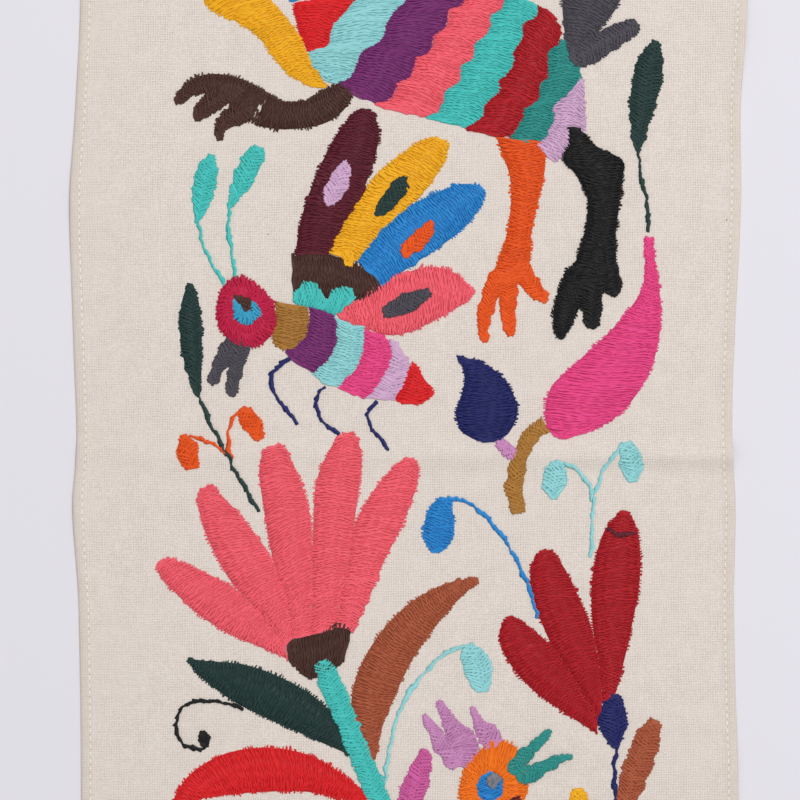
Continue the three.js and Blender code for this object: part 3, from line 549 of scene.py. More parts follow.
def herringbone(field, rng):
    """Start and end of each stitch of a filled field, in the order they are worked."""
    left, right, lead = field["left"], field["right"], field["lead"]
    run = run_along((left + right) / 2)
    starts = np.arange(-lead, run[-1], stitch_pitch / 2)
    starts = starts + rng.normal(0, along_jitter, len(starts))
    ends = starts + lead + rng.normal(0, along_jitter, len(starts))
    from_left = np.arange(len(starts))[:, None] % 2 == 0
    first = np.where(from_left, places_on(left, run, starts), places_on(right, run, starts))
    last = np.where(from_left, places_on(right, run, ends), places_on(left, run, ends))
    way = last - first
    way /= np.maximum(np.hypot(*way.T), 0.3)[:, None]
    first = first - way * rng.uniform(0, 2 * across_jitter, len(first))[:, None]
    last = last + way * rng.uniform(0, 2 * across_jitter, len(last))[:, None]
    stitches = np.concatenate([first, last], axis=1)
    for gap in ("inset", "bare"):
        if gap in field:
            stitches = parted(stitches, outline_of(field[gap], inset_gap))
    return stitches


def outline_of(field, wider):
    """A field's outline, moved outwards by a little."""
    outline = np.concatenate([field["left"], field["right"][::-1]])
    away = outline - outline.mean(axis=0)
    return outline + away / np.hypot(*away.T)[:, None] * wider


def parted(stitches, outline):
    """Stitches parted round an inset: one from each side up to its outline."""
    share = np.linspace(0, 1, part_steps)
    points = stitches[:, None, :2] + (stitches[:, None, 2:] - stitches[:, None, :2]) * share[:, None]
    kept = []
    for stitch, places, hidden in zip(stitches, points, inside(points, outline)):
        covered = np.flatnonzero(hidden)
        if not len(covered):
            kept.append(stitch)
            continue
        first, last = covered[[0, -1]]
        if first > 1:
            kept.append(np.concatenate([places[0], places[first]]))
        if last < part_steps - 2:
            kept.append(np.concatenate([places[-1], places[last]]))
    return np.array(kept)


def stem_stitch(field, rng):
    """Start and end of each stitch of a line, each begun beside the middle of the one before."""
    spine = field["spine"]
    run, side = run_along(spine), sideways(spine)
    starts = np.arange(0, max(run[-1] - stem_length * 0.6, 1), stem_pitch)
    starts = starts + rng.normal(0, along_jitter, len(starts))
    ends = np.minimum(starts + stem_length, run[-1])
    return np.concatenate([
        places_on(spine, run, at) + places_on(side, run, at) * sway
        for at, sway in ((starts, stem_slant), (ends, -stem_slant))], axis=1)


def field_rise(field):
    """How far a field stands above a plain one."""
    return inset_rise if field.get("is_inset") else field.get("rise", 0)


def grounds_of(field):
    """The low closed pads in the shade under a field's stitches, with a break at a bare slit."""
    left, right = field["left"], field["right"]
    if "bare" not in field:
        return [ground_between(left[::2], right[::2], pad_rise + field_rise(field))]
    slit = outline_of(field["bare"], 0).mean(axis=0)
    cut = int(np.argmin(np.hypot(*((left + right) / 2 - slit).T)))
    return [ground_between(left[half], right[half], pad_rise)
            for half in (slice(cut, None, -2), slice(cut + 1, None, 2))]


def ground_between(left, right, rise):
    """The points and faces of one pad between two rails."""
    span = np.maximum(np.hypot(*(left - right).T), 0.5)
    near = np.minimum(pad_inset / span, 0.35)[:, None]
    heights = (pad_foot, rise, rise + pad_crown, rise, pad_foot)
    sections = []
    for share, height in zip((near, near, 0.5, 1 - near, 1 - near), heights):
        place = left + (right - left) * share
        sections.append(np.column_stack([place, panel_top_at(*place.T) + height]))
    rings = np.stack(sections, axis=1)
    points = rings.reshape(-1, 3)
    size = len(sections)
    last = len(points) - size
    faces = [(a + k, a + (k + 1) % size, a + size + (k + 1) % size, a + size + k)
             for a in range(0, last, size) for k in range(size)]
    for k in range(1, size - 1):
        faces += [(0, k + 1, k), (last, last + k, last + k + 1)]
    ahead, out = rings[1, 2] - rings[0, 2], rings[0, -1] - rings[0, 0]
    if ahead[0] * out[1] - ahead[1] * out[0] > 0:
        faces = [face[::-1] for face in faces]
    return points, faces


# One tree lays every stitch: a short tube of thread that rises out of the cloth, crosses over its
# neighbours in its first half, dips under the later ones in its second half and goes down again.
stitch_tree, given, result = new_tree("floss stitches", {
    "Cloth": "Object", "Thread width": stitch_wide, "Thread thickness": stitch_thick,
    "Layer height": layer_height, "Wander": wander, "Wander size": wander_size, "Seed": "Int",
    "Floss": "Material"})
tree = stitch_tree
tube_line = add(tree, "GeometryNodeCurvePrimitiveLine", {"Start": (0, 0, 0), "End": (1, 0, 0)})
tube_rings = add(tree, "GeometryNodeResampleCurve", {"Curve": tube_line, "Count": stitch_rings})
tube_round = add(tree, "GeometryNodeCurvePrimitiveCircle", {"Resolution": stitch_sides, "Radius": 0.5})
tube = add(tree, "GeometryNodeCurveToMesh", {
    "Curve": tube_rings, "Profile Curve": tube_round, "Fill Caps": True})
tube_at = add(tree, "ShaderNodeSeparateXYZ", {0: add(tree, "GeometryNodeInputPosition")})
share, across, up = tube_at.outputs
profiles = []
for curve_points in (
    ((0, 0), (0.04, 0.5), (0.12, 0.85), (0.3, 1), (0.5, 0.85), (0.65, 0.55), (0.8, 0.45), (0.94, 0.3),
     (1, 0)),
    ((0, 0.5), (0.08, 0.9), (0.25, 1), (0.85, 0.95), (1, 0.45)),
):
    profile = add(tree, "ShaderNodeFloatCurve", {"Value": share})
    curve = profile.mapping.curves[0]
    for k, point in enumerate(curve_points):
        if k < 2:
            curve.points[k].location = point
        else:
            curve.points.new(*point)
    profile.mapping.update()
    profiles.append(profile)
bow, taper = profiles
swing = add(tree, "ShaderNodeMath", {0: share, 1: 2 * math.pi}, operation="MULTIPLY")
swing = add(tree, "ShaderNodeMath", {0: swing}, operation="SINE")
bunched = add(tree, "ShaderNodeMath", {0: swing, 1: end_bunching, 2: share}, operation="MULTIPLY_ADD")
wide = add(tree, "ShaderNodeMath", {0: across, 1: taper}, operation="MULTIPLY")
deep = add(tree, "ShaderNodeMath", {0: up, 1: taper}, operation="MULTIPLY")
deep = add(tree, "ShaderNodeMath", {0: deep, 1: given["Thread thickness"]}, operation="MULTIPLY")
raised = add(tree, "ShaderNodeMath", {0: bow, 1: given["Layer height"], 2: deep}, operation="MULTIPLY_ADD")
shaped_at = add(tree, "ShaderNodeCombineXYZ", {0: bunched, 1: wide, 2: raised})
for name, value in (("share", share), ("across", across)):
    tube = add(tree, "GeometryNodeStoreNamedAttribute",
               {"Geometry": tube, "Name": name, "Value": value}, data_type="FLOAT", domain="POINT")
stitch = add(tree, "GeometryNodeSetPosition", {"Geometry": tube, "Position": shaped_at})

far_end = add(tree, "GeometryNodeInputNamedAttribute", {"Name": "far_end"}, data_type="FLOAT_VECTOR")
here = add(tree, "GeometryNodeInputPosition")
reach = add(tree, "ShaderNodeVectorMath", {0: far_end, 1: here}, operation="SUBTRACT")
span = add(tree, "ShaderNodeVectorMath", {0: reach}, operation="LENGTH").outputs["Value"]
turn = add(tree, "FunctionNodeAlignRotationToVector", {"Vector": reach}, axis="X", pivot_axis="Z")
fullness = add(tree, "ShaderNodeMapRange", {
    "Value": span, "From Min": 1.5 * MM, "From Max": 6 * MM, "To Min": 0.6, "To Max": 1.0})
plump = add(tree, "FunctionNodeRandomValue",
            {2: least_plump, 3: most_plump, "Seed": given["Seed"]}, data_type="FLOAT").outputs[1]
girth = add(tree, "GeometryNodeInputNamedAttribute", {"Name": "girth"}, data_type="FLOAT")
thread_width = add(tree, "ShaderNodeMath", {0: given["Thread width"], 1: plump}, operation="MULTIPLY")
thread_width = add(tree, "ShaderNodeMath", {0: thread_width, 1: girth}, operation="MULTIPLY")
size = add(tree, "ShaderNodeCombineXYZ", {0: span, 1: thread_width, 2: fullness})
starts = add(tree, "GeometryNodeMeshToPoints", {"Mesh": given["Geometry"]})
tone_seed = add(tree, "ShaderNodeMath", {0: given["Seed"], 1: 7.0}, operation="ADD")
tone = add(tree, "FunctionNodeRandomValue",
           {2: least_tone, 3: most_tone, "Seed": tone_seed}, data_type="FLOAT").outputs[1]
for name, value in (("tone", tone), ("span", span)):
    starts = add(tree, "GeometryNodeStoreNamedAttribute",
                 {"Geometry": starts, "Name": name, "Value": value}, data_type="FLOAT", domain="POINT")
stitches = add(tree, "GeometryNodeInstanceOnPoints", {
    "Points": starts, "Instance": stitch, "Rotation": turn, "Scale": size})
real = add(tree, "GeometryNodeRealizeInstances", {0: stitches})
spot = add(tree, "GeometryNodeInputPosition")
flat_spot = add(tree, "ShaderNodeVectorMath", {0: spot, 1: (1, 1, 0)}, operation="MULTIPLY")
wander_scale = add(tree, "ShaderNodeMath", {0: 1.0, 1: given["Wander size"]}, operation="DIVIDE")
drift = add(tree, "ShaderNodeTexNoise", {"Vector": flat_spot, "Scale": wander_scale, "Detail": 1.0})
drift = add(tree, "ShaderNodeVectorMath", {0: drift.outputs["Color"], 1: (0.5,) * 3}, operation="SUBTRACT")
drift = add(tree, "ShaderNodeVectorMath", {0: drift, 1: (2, 2, 0)}, operation="MULTIPLY")
drift = add(tree, "ShaderNodeVectorMath", {0: drift, "Scale": given["Wander"]}, operation="SCALE")
wandered = add(tree, "GeometryNodeSetPosition", {"Geometry": real, "Offset": drift})
tree.links.new(lay_on_panel(tree, wandered, given["Cloth"], given["Floss"]), result.inputs[0])


def floss_material(name, hex_colour):
    """Six-strand mercerised cotton: a soft satin with fine strands that wind along each stitch, painted
    shade in the grooves between the strands and on the low pads in the slits between stitches, and no two
    stitches quite the same shade."""
    material, tree, surface = new_material(f"stranded cotton, {name}", {
        "Specular IOR Level": 0.27, "Sheen Weight": 0.05, "Sheen Roughness": 0.45})
    tone, across, share, span = (
        add(tree, "ShaderNodeAttribute", attribute_name=key).outputs["Fac"]
        for key in ("tone", "across", "share", "span"))
    run = add(tree, "ShaderNodeMath", {0: share, 1: span}, operation="MULTIPLY")
    wound = add(tree, "ShaderNodeMath", {0: run, 1: 1 / (strand_length * MM)}, operation="MULTIPLY")
    turned = add(tree, "ShaderNodeMath", {0: across, 1: strand_turns, 2: wound}, operation="MULTIPLY_ADD")
    strand = add(tree, "ShaderNodeMath", {0: turned}, operation="SINE")
    # Painted shade in the grooves between the strands: the colour is mixed towards a darker one there.
    slit = add(tree, "ShaderNodeMapRange", {
        "Value": strand, "From Min": -1, "From Max": 0.2, "To Min": strand_shade, "To Max": 1.0})
    shade = add(tree, "ShaderNodeMath", {0: tone, 1: slit}, operation="MULTIPLY")
    full = linear(hex_colour)
    # The darker colour that the painted shade mixes towards, keeping more of the thread's own hue.
    groove_shade = [part * (0.08 + 0.3 * part / max(full[:3])) for part in full[:3]] + [1.0]
    colour = add(tree, "ShaderNodeMix", {"Factor": shade, "A": groove_shade, "B": full}, data_type="RGBA")
    tree.links.new(colour.outputs["Result"], surface["Base Color"])
    gloss = add(tree, "ShaderNodeMapRange", {
        "Value": strand, "From Min": -1, "From Max": 1, "To Min": 0.62, "To Max": 0.42})
    tree.links.new(gloss.outputs[0], surface["Roughness"])
    bump = add(tree, "ShaderNodeBump", {"Height": strand, "Distance": strand_depth * MM, "Strength": 0.5})
    tree.links.new(bump.outputs[0], surface["Normal"])
    return material


floss_materials = {name: floss_material(name, hex_colour) for name, hex_colour in floss.items()}


def embroider(name, fields, seed):
    """Works a figure: every field's stitches and the pad under them, darkened as painted shade, joined into
    one piece.
    """
    rng = np.random.default_rng(seed)
    parts, filled = [], []
    for field in fields:
        filled.append(field)
        if "inset" in field:
            filled.append({**field["inset"], "is_inset": True})
    for colour in dict.fromkeys(field["colour"] for field in filled):
        starts, ends, girths = [], [], []
        for field in (field for field in filled if field["colour"] == colour):
            is_line = "spine" in field
            worked = stem_stitch(field, rng) if is_line else herringbone(field, rng)
            height = np.full(len(worked), field_rise(field))
            starts.append(np.column_stack([worked[:, :2], height]))
            ends.append(np.column_stack([worked[:, 2:], height]))
            girths.append(np.full(len(worked), field["girth"]))
            for points, faces in () if is_line else grounds_of(field):
                pad = mesh_object(f"{name}_pad", points * MM, faces, floss_materials[colour])
                # The pad's lower tone is painted shade in the slits between the stitches.
                note(pad, "tone", np.full(len(points), pad_painted_shade))
                parts.append(pad)
        base = route_object(f"{name}_{colour}", np.concatenate(starts) * MM, [])
        note(base, "far_end", np.concatenate(ends) * MM)
        note(base, "girth", np.concatenate(girths))
        base.data = grown(name, base, stitch_tree, {
            "Cloth": panel, "Floss": floss_materials[colour], "Seed": seed + len(parts)})
        parts.append(base)
    piece = parts[-1]
    with bpy.context.temp_override(active_object=piece, selected_editable_objects=parts):
        bpy.ops.object.join()
    piece.name = name
    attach(piece, "root")
    return piece


beast = embroider("beast", [
    band("yellow", [(-44, 169.8, -37, 170.2), (-53, 174.5, -42, 177.5), (-59.5, 181, -45.5, 184.5),
        (-64, 187.5, -49.5, 193), (-70, 194, -54.5, 200), (-79.5, 200, -61, 207.5),
        (-89.8, 204.8, -68, 214), (-93, 211.5, -77, 225), (-105, 220, -94, 234), (-112, 228, -107, 234)],
        caps=(0.5, 0.6), inset=disc("sky", -94, 221, 4.6, 4.6)),
    leaf("turquoise", [(-82, 231, 2), (-78, 241, 4.6), (-77, 250, 4.4), (-79, 258, 1.4)]),
    leaf("lilac", [(-96, 235, 1.8), (-98, 244, 4), (-102, 252, 3.4), (-106, 258, 1.2)]),
    band("red", [(-46, 186.5, -40, 186.5), (-49, 192, -35.8, 190.5), (-50.5, 199, -33.8, 197),
        (-52, 206, -28, 204), (-45, 208.5, -24, 209.5), (-34, 212, -19, 216)], caps=(0.3, 0)),
    band("blue", [(-53, 208, -46, 209.5), (-54, 215, -36, 213), (-46, 222, -26, 217),
        (-32, 227, -13, 222)]),
    band("aqua", [(-36, 172.5, -31, 171.5), (-43, 178, -25, 176), (-45, 185, -21, 185),
        (-36.5, 189, -12, 191), (-34.2, 197, -9.5, 199), (-27, 205.5, -2, 208), (-20, 214.5, 7, 216),
        (-12, 226, 14, 225)], caps=(0.3, 0)),
    band("purple", [(-32, 170.6, -13.5, 161), (-25, 176, -4, 170), (-21, 185, 3, 179), (-12, 191, 10, 188),
        (-9.5, 199, 16, 198), (-2, 208, 23, 208), (7, 216, 28, 215), (14, 225, 31, 220.5)], scallops=(0, 3),
        caps=(0.12, 0)),
    band("coral", [(-13.5, 161, 9.5, 155.5), (-4, 170, 15, 163), (3, 179, 22, 173), (10, 188, 28, 184),
        (16, 198, 35, 194), (23, 208, 41, 205), (31, 220.5, 45, 215)], scallops=(3, 3), caps=(0.25, 0)),
    band("turquoise", [(9.5, 155.5, 27, 150.5), (15, 163, 33.5, 158), (22, 173, 41, 170),
        (28, 184, 47, 181), (35, 194, 51, 193), (41, 205, 56, 202), (45, 215, 58, 206)], scallops=(3, 2.6),
        caps=(0.2, 0)),
    band("crimson", [(27, 150.5, 47, 147), (33.5, 158, 51, 156), (41, 170, 58, 165), (47, 181, 61.5, 174),
        (51, 193, 64, 185), (58, 206, 70, 194)], scallops=(2.6, 2.2), caps=(0.24, 0.3)),
    band("teal", [(47, 147, 59.5, 144), (51, 156, 66, 154), (54.5, 160.5, 64.8, 159.4),
        (58, 165, 70.5, 165), (61.5, 174, 77.5, 173.5), (64, 185, 76, 183), (69, 191, 71.5, 191)],
        scallops=(2.2, 0), caps=(0.15, 0)),
    band("lilac", [(58, 143.2, 66.3, 135.2), (62.5, 148.5, 73, 140.5), (66.5, 154.5, 79.8, 149.5),
        (65.3, 159.6, 80, 156), (70.5, 165, 79.6, 163), (77.5, 172.3, 78.6, 172.3)], caps=(0.1, 0)),
    leaf("brown", [(-29.6, 166.8, 5.2), (-34, 163, 6.4), (-39.5, 159.8, 7), (-46, 157.2, 6.2),
        (-58, 156.8, 6.6), (-68, 160.5, 8), (-78, 167.5, 6.4), (-88, 171, 4.6), (-97, 169.5, 3.8),
        (-104, 164, 2)], bare=leaf("brown", [(-67.2, 161, 0.6), (-66.8, 158.5, 0.6), (-66.5, 156, 0.6)])),
    leaf("brown", [(-78, 168, 4), (-85, 164.8, 4.3), (-91, 161, 4.2), (-95.6, 157, 2.6)]),
    leaf("brown", [(-73, 158.5, 4.5), (-80, 156, 4.4), (-85, 151, 2.8), (-85.2, 147.2, 1.4)]),
    band("orange", [(39.8, 147, 60.2, 144.3), (42.8, 138, 62, 138), (46, 128, 61, 127),
        (46.2, 115, 58, 115), (44.4, 103, 55.6, 103), (40.5, 91, 55, 91), (37, 81, 52, 82)]),
    leaf("orange", [(40.5, 84, 4.5), (37, 75, 3.4), (34.2, 66, 3), (34, 59, 2), (34.8, 55, 0.9)]),
    leaf("orange", [(45.5, 84, 4), (45, 74, 3.4), (45.2, 65, 2.8), (45.6, 58, 1.7)]),
    leaf("orange", [(50, 87, 4), (55, 80.5, 3.8), (59.5, 75.8, 3), (61.6, 74, 1.8)]),
    band("black", [(72.5, 151, 77, 150), (72.8, 146, 81, 147), (71, 141, 86, 142), (70, 136, 97, 136.5),
        (75.5, 130, 97, 129), (80.5, 120, 95.8, 120), (81, 113, 95, 113), (79.3, 103, 93.8, 103),
        (76, 92, 94, 91), (71, 81, 95, 82)], rise=0.5),
    leaf("black", [(77, 84, 6.5), (72.8, 74, 6), (70.2, 65.5, 4.9), (69, 59, 3.2), (69.2, 56.6, 2)],
        rise=0.25),
    leaf("black", [(83, 84, 5), (83, 74, 4.6), (82.8, 67, 3.9), (82.9, 61.6, 2.4)], rise=0.25),
    leaf("black", [(89, 86, 5.5), (91.5, 81, 5), (94, 78, 3)], rise=0.25),
    leaf("slate", [(75, 187, 3.4), (77, 195, 7), (80, 204, 11), (84, 213, 12.6), (89, 224, 9.4),
        (93, 235, 4.4), (95, 242, 1.4)], rise=0.3),
    leaf("slate", [(77, 183, 5.2), (86, 188.4, 5.4), (95, 193.4, 4.6), (102.6, 197.4, 3.4)],
        caps=(0.7, 0.4), rise=0.3),
], seed=11)


# The dragonfly: four long wings, each with a seed-shaped inset in another colour that its stitches part
# round, a jointed body in six colours, a round head worked round its eye, and feelers in stem stitch.
dragonfly = embroider("dragonfly", [
    band("maroon", [(-51.2, 93.8, -36.2, 93.8), (-48.8, 109, -29.6, 106.6), (-44, 124, -21.2, 121),
        (-37, 140, -15.2, 137), (-30.5, 151, -13.2, 149), (-25, 157, -15.2, 156.5)], caps=(0, 0.7),
        inset=leaf("lilac", [(-29, 135.3, 1.3), (-29.8, 130.5, 3.6), (-32.5, 124, 4.4), (-35.4, 118.6, 2.8),
        (-36.5, 116.4, 1.2)])),
    band("yellow", [(-36, 95.2, -23.4, 90.3), (-29.8, 106, -13.9, 102.7), (-21, 120.8, -2.4, 113.8),
        (-11.5, 132.5, 7.5, 122.5), (-0.5, 141, 14.5, 132.5), (8.5, 146.2, 18.2, 141.6)], caps=(0, 0.6),
        inset=leaf("bottle", [(-2, 128, 1.4), (-3.8, 124.3, 3.4), (-7.6, 119.6, 3.7), (-11.8, 114.6, 2.6),
        (-14.2, 112.2, 1.2)])),
    leaf("yellow", [(-27.5, 94, 2.6), (-26.8, 91, 1.9), (-26.3, 88.8, 0.9)], rise=0.35),
    band("blue", [(-23.5, 91, -12, 79.5), (-14, 102.9, -1, 87), (-2, 114, 12.5, 96), (11, 121, 24.5, 105),
        (22, 125.4, 32, 114.2), (29, 125.6, 34.4, 119.8)], caps=(0, 0.6),
        inset=leaf("orange", [(10.2, 107.4, 1.4), (8, 104.2, 3), (3.6, 99.2, 3.4), (-0.6, 95, 2),
        (-1.8, 93.8, 1)])),
    band("coral", [(-31.5, 66.8, -30.5, 65.2), (-22, 74, -20, 60.8), (-12, 80, -10, 57.2), (0, 86, 0, 58.5),
        (10, 88.2, 11, 63.5), (19, 86.5, 20, 68.5), (26, 81.5, 26.5, 72.5), (28.8, 78.6, 28.8, 75.2)],
        caps=(0, 0.6), inset=leaf("slate", [(8.6, 76.6, 1.8), (5, 74.6, 3.4), (-2, 71, 4.2),
        (-9.4, 68, 2.4)])),
    band("brown", [(-52, 93, -52, 76.5), (-45, 95.2, -46.5, 79.5), (-38, 94.6, -37.5, 73.5),
        (-31, 92.4, -30, 77.5), (-24, 89.6, -24, 73), (-17.5, 85, -18, 75), (-12.5, 79.5, -13, 78)]),
    band("turquoise", [(-52, 76.2, -51.6, 73.4), (-47.5, 81.2, -48.4, 71), (-42, 80.4, -42.5, 70),
        (-37, 73.2, -37.4, 68.4), (-32.5, 78.6, -32.8, 66.6), (-27.6, 79, -28, 70),
        (-23.8, 74.4, -24.4, 72.6)], rise=0.15),
    leaf("slate", [(-79.5, 55, 3.2), (-82.5, 50, 3), (-86, 42.5, 2.7), (-89.2, 35.8, 1.8)],
        caps=(0.7, 0.4)),
    leaf("slate", [(-76, 53.5, 3.8), (-77, 47, 3.6), (-78.6, 39, 3), (-80, 31.4, 2.1)], caps=(0.7, 0.4)),
    band("cerise", [(-75, 84, -75, 74.6), (-65.5, 77.6, -69.5, 73.2), (-60.2, 69, -67.2, 68.5),
        (-61, 58.8, -69, 63.5), (-68, 52.2, -73, 62), (-77, 52.8, -77, 63.6), (-84.5, 59, -79.3, 67),
        (-86.8, 69, -79.3, 71), (-83.5, 80, -78, 73.9), (-75, 84, -75, 74.6)], rise=0.25),
    leaf("sky", [(-78, 72.4, 1), (-77.3, 69, 1.9), (-75.4, 65.7, 2.8), (-71.8, 65.2, 3), (-69.3, 68.4, 2.4),
        (-70, 72.4, 1.6)], rise=0.25),
    leaf("brown", [(-77.4, 74, 1), (-75, 73, 2.5), (-72.7, 71, 2.3), (-72.3, 69, 1.2)], rise=0.45),
    band("ochre", [(-60.5, 72.3, -46, 70.3), (-59.6, 65, -44.8, 64), (-61.6, 58, -46.2, 58),
        (-60.6, 53.4, -48.8, 54.3), (-57, 50.4, -52, 50.6)]),
    band("purple", [(-44.8, 70.5, -33.3, 66), (-44.6, 63, -32.4, 59.5), (-47, 56.5, -33.2, 53),
        (-51.5, 51.6, -36, 46.5), (-56, 49.8, -43, 40.3)], caps=(0, 0.1)),
    band("aqua", [(-33.2, 65.2, -19.6, 60.6), (-32.4, 58.8, -20.2, 55.5), (-33.2, 52, -20.4, 50.5),
        (-36.3, 45.6, -23.2, 43.5), (-43.2, 40, -28.4, 37), (-38, 36, -32, 34.4)]),
    band("pink", [(-19.6, 59.8, -14, 57.5), (-20, 55, -8.8, 54), (-20.3, 49.5, -8, 47.5),
        (-23, 43, -9.8, 41), (-28.5, 36.8, -13.8, 34.5), (-32.8, 34.2, -19.3, 29)], caps=(0, 0.1)),
    band("lilac", [(-7.8, 54.6, -4.8, 53), (-8.4, 49, -0.8, 46.3), (-9.8, 42, 0.5, 42),
        (-13.4, 35.6, -2.2, 36), (-19, 29.3, -6.5, 28.2)]),
    band("red", [(2, 44.7, 3.4, 44.3), (-0.5, 39.8, 6.6, 38.5), (-3.2, 34, 10.8, 33),
        (-6.3, 28.3, 10.3, 29.4), (-3, 26.6, 4, 26.3)]),
    leaf("turquoise", [(-89.3, 137.4, 2), (-90.8, 132, 4.6), (-92.8, 123, 4.8), (-94.4, 115, 3),
        (-95.2, 109.4, 1.3)]),
    line("turquoise", [(-95.2, 110), (-94, 103), (-92, 96), (-89.5, 91), (-86.8, 87), (-82.8, 79.4)],
        girth=1.7),
    leaf("turquoise", [(-68.4, 139.8, 3.4), (-70.8, 135.5, 4.6), (-74.6, 128, 4.4), (-78.2, 121, 2.4),
        (-80.6, 116, 1.2)]),
    line("turquoise", [(-80.8, 117), (-81.5, 108), (-80.4, 98), (-79, 91), (-77.8, 82.6)], girth=1.9),
    line("navy", [(-52.8, 46.8), (-59, 44.2), (-62, 38.5), (-61, 32.5), (-56.5, 25.2), (-50.3, 17)]),
    line("navy", [(-37.2, 34.8), (-41.6, 30.5), (-42.6, 24.5), (-39.8, 19), (-36, 15.8), (-30.8, 12.8)]),
    line("navy", [(-14.2, 27.8), (-18, 24.8), (-18.2, 19.5), (-15.4, 13.2), (-11.8, 8.8), (-7.8, 4.8)]),
], seed=23)


# The plants at the left: a bud on a long stem, two small sprouts, and the great flower of five petals on
# a stout stem, with its leaves, a curled tendril and a drooping bud.
left_plants = embroider("left_plants", [
    leaf("bottle", [(-98.8, 78.8, 1.8), (-98.6, 72, 4), (-98.4, 60, 5), (-97.6, 48, 4.4), (-96.2, 38, 2.7),
        (-95, 30.5, 1.1)]),
    line("bottle", [(-95, 31), (-89, 16.5), (-82, 4), (-74.5, -10.5), (-67.2, -22.5)]),
    leaf("orange", [(-100.8, 10, 2.8), (-100, 5, 4.8), (-98, -1, 3.4)]),
    line("orange", [(-98.5, 11.6), (-91.5, 10.2), (-86, 7), (-79, 1.8)], girth=1.9),
    leaf("orange", [(-74.3, 22.6, 2.6), (-71.3, 18.3, 4.4), (-67.8, 12.2, 2.6)]),
    line("orange", [(-76.5, 22.8), (-80.3, 18.5), (-81.5, 12), (-80.5, 2.5)], girth=1.9),
    band("coral", [(-55, -89, -56, -83), (-68, -83.3, -62, -75), (-82, -77.3, -70, -65.5),
        (-96, -68, -80, -56.2), (-107.5, -57, -95, -48.6), (-113, -50, -106, -44.2)], caps=(0, 0.8)),
    band("coral", [(-56, -83, -52, -80), (-62, -75, -54, -68), (-70, -65.5, -57, -56),
        (-81, -53, -62, -43.5), (-91, -34, -70.5, -31), (-95, -20, -81, -18.5),
        (-94.6, -13.8, -88.5, -11.4)], caps=(0, 0.6)),
    band("coral", [(-52, -80, -44, -78), (-54, -68, -43.5, -62), (-58, -54, -43.5, -45),
        (-62, -41, -44, -29), (-65.3, -22, -46, -17), (-67.5, -5, -51, -3), (-66, 3.8, -55, 5)],
        caps=(0, 0.6)),
    band("coral", [(-44, -78, -33, -75), (-43.5, -62, -30, -59), (-43.5, -45, -27, -44),
        (-43, -28, -24.5, -28), (-42, -11, -22.2, -12), (-38, 1, -21, 1), (-33.5, 9.3, -22.4, 8.8)],
        caps=(0, 0.75)),
    band("coral", [(-33, -75, -24.5, -76), (-30, -59, -17.5, -61), (-27, -44, -11, -45),
        (-24.5, -29, -3.5, -30), (-16.5, -14, 2.5, -15), (-8, -3.5, 4.6, -5), (-3.5, 0.1, 3.8, -0.5)],
        caps=(0, 0.6)),
    band("brown", [(-54.8, -82.5, -54, -88.5), (-48.5, -79, -48, -96.3), (-40, -76.5, -42.5, -98),
        (-32, -72.8, -34, -94), (-26, -75.5, -29, -89)], rise=0.2),
    leaf("turquoise", [(-38, -92, 3.8), (-36.6, -96, 4.8), (-34.8, -101.5, 4.9), (-29.8, -113, 4.8),
        (-22.8, -130, 4.4), (-16, -146, 4.8), (-11, -163, 4.6), (-10, -180, 4), (-12, -196, 2)], rise=0.3),
    leaf("bottle", [(-99, -89.8, 1), (-90, -94.5, 4.8), (-76, -100, 8.8), (-60, -107, 9.8),
        (-45, -115, 8.6), (-34, -123.5, 5.6), (-27, -131, 1.4)]),
    line("black", [(-74.5, -112), (-84, -108.4), (-95, -107.8), (-103.5, -113), (-105.3, -120),
        (-102, -127), (-96, -130.2), (-91.5, -128.5)], girth=1.8),
    leaf("black", [(-92.6, -122.6, 1.2), (-92.4, -125, 2.3), (-91.3, -127.6, 1.5)]),
    band("red", [(-109, -166, -104, -167), (-106, -152, -98, -154.5), (-98, -140.5, -87, -151),
        (-83, -131.8, -74, -149.8), (-64, -129, -60, -149), (-45, -132.4, -46, -149.2),
        (-30, -141, -33, -151.5), (-19.5, -149.8, -22, -154.5), (-16.5, -158, -18, -159)]),
    leaf("rust", [(31, -53.8, 1), (23.5, -56.8, 3.6), (15, -62, 6), (5, -70.6, 8.2), (-5, -82.5, 9.4),
        (-12.5, -96, 9.9), (-17, -109, 9), (-17.4, -121, 5.5), (-16.3, -130, 2.6), (-16.2, -133.2, 1.6)]),
    leaf("rust", [(22.4, -52.6, 0.6), (21.6, -55, 1.6), (19.4, -58.4, 2.2)], caps=(0.7, 0)),
    leaf("aqua", [(27.4, -85, 3.4), (30, -89.5, 6), (32.3, -96.5, 5.6), (33.4, -102.2, 3.2)],
        caps=(0.7, 0.5)),
    line("aqua", [(25, -83.5), (18, -85.5), (11, -91.5), (3.5, -100), (-3.5, -111.5), (-8, -126),
        (-10.8, -146)]),
], seed=37)


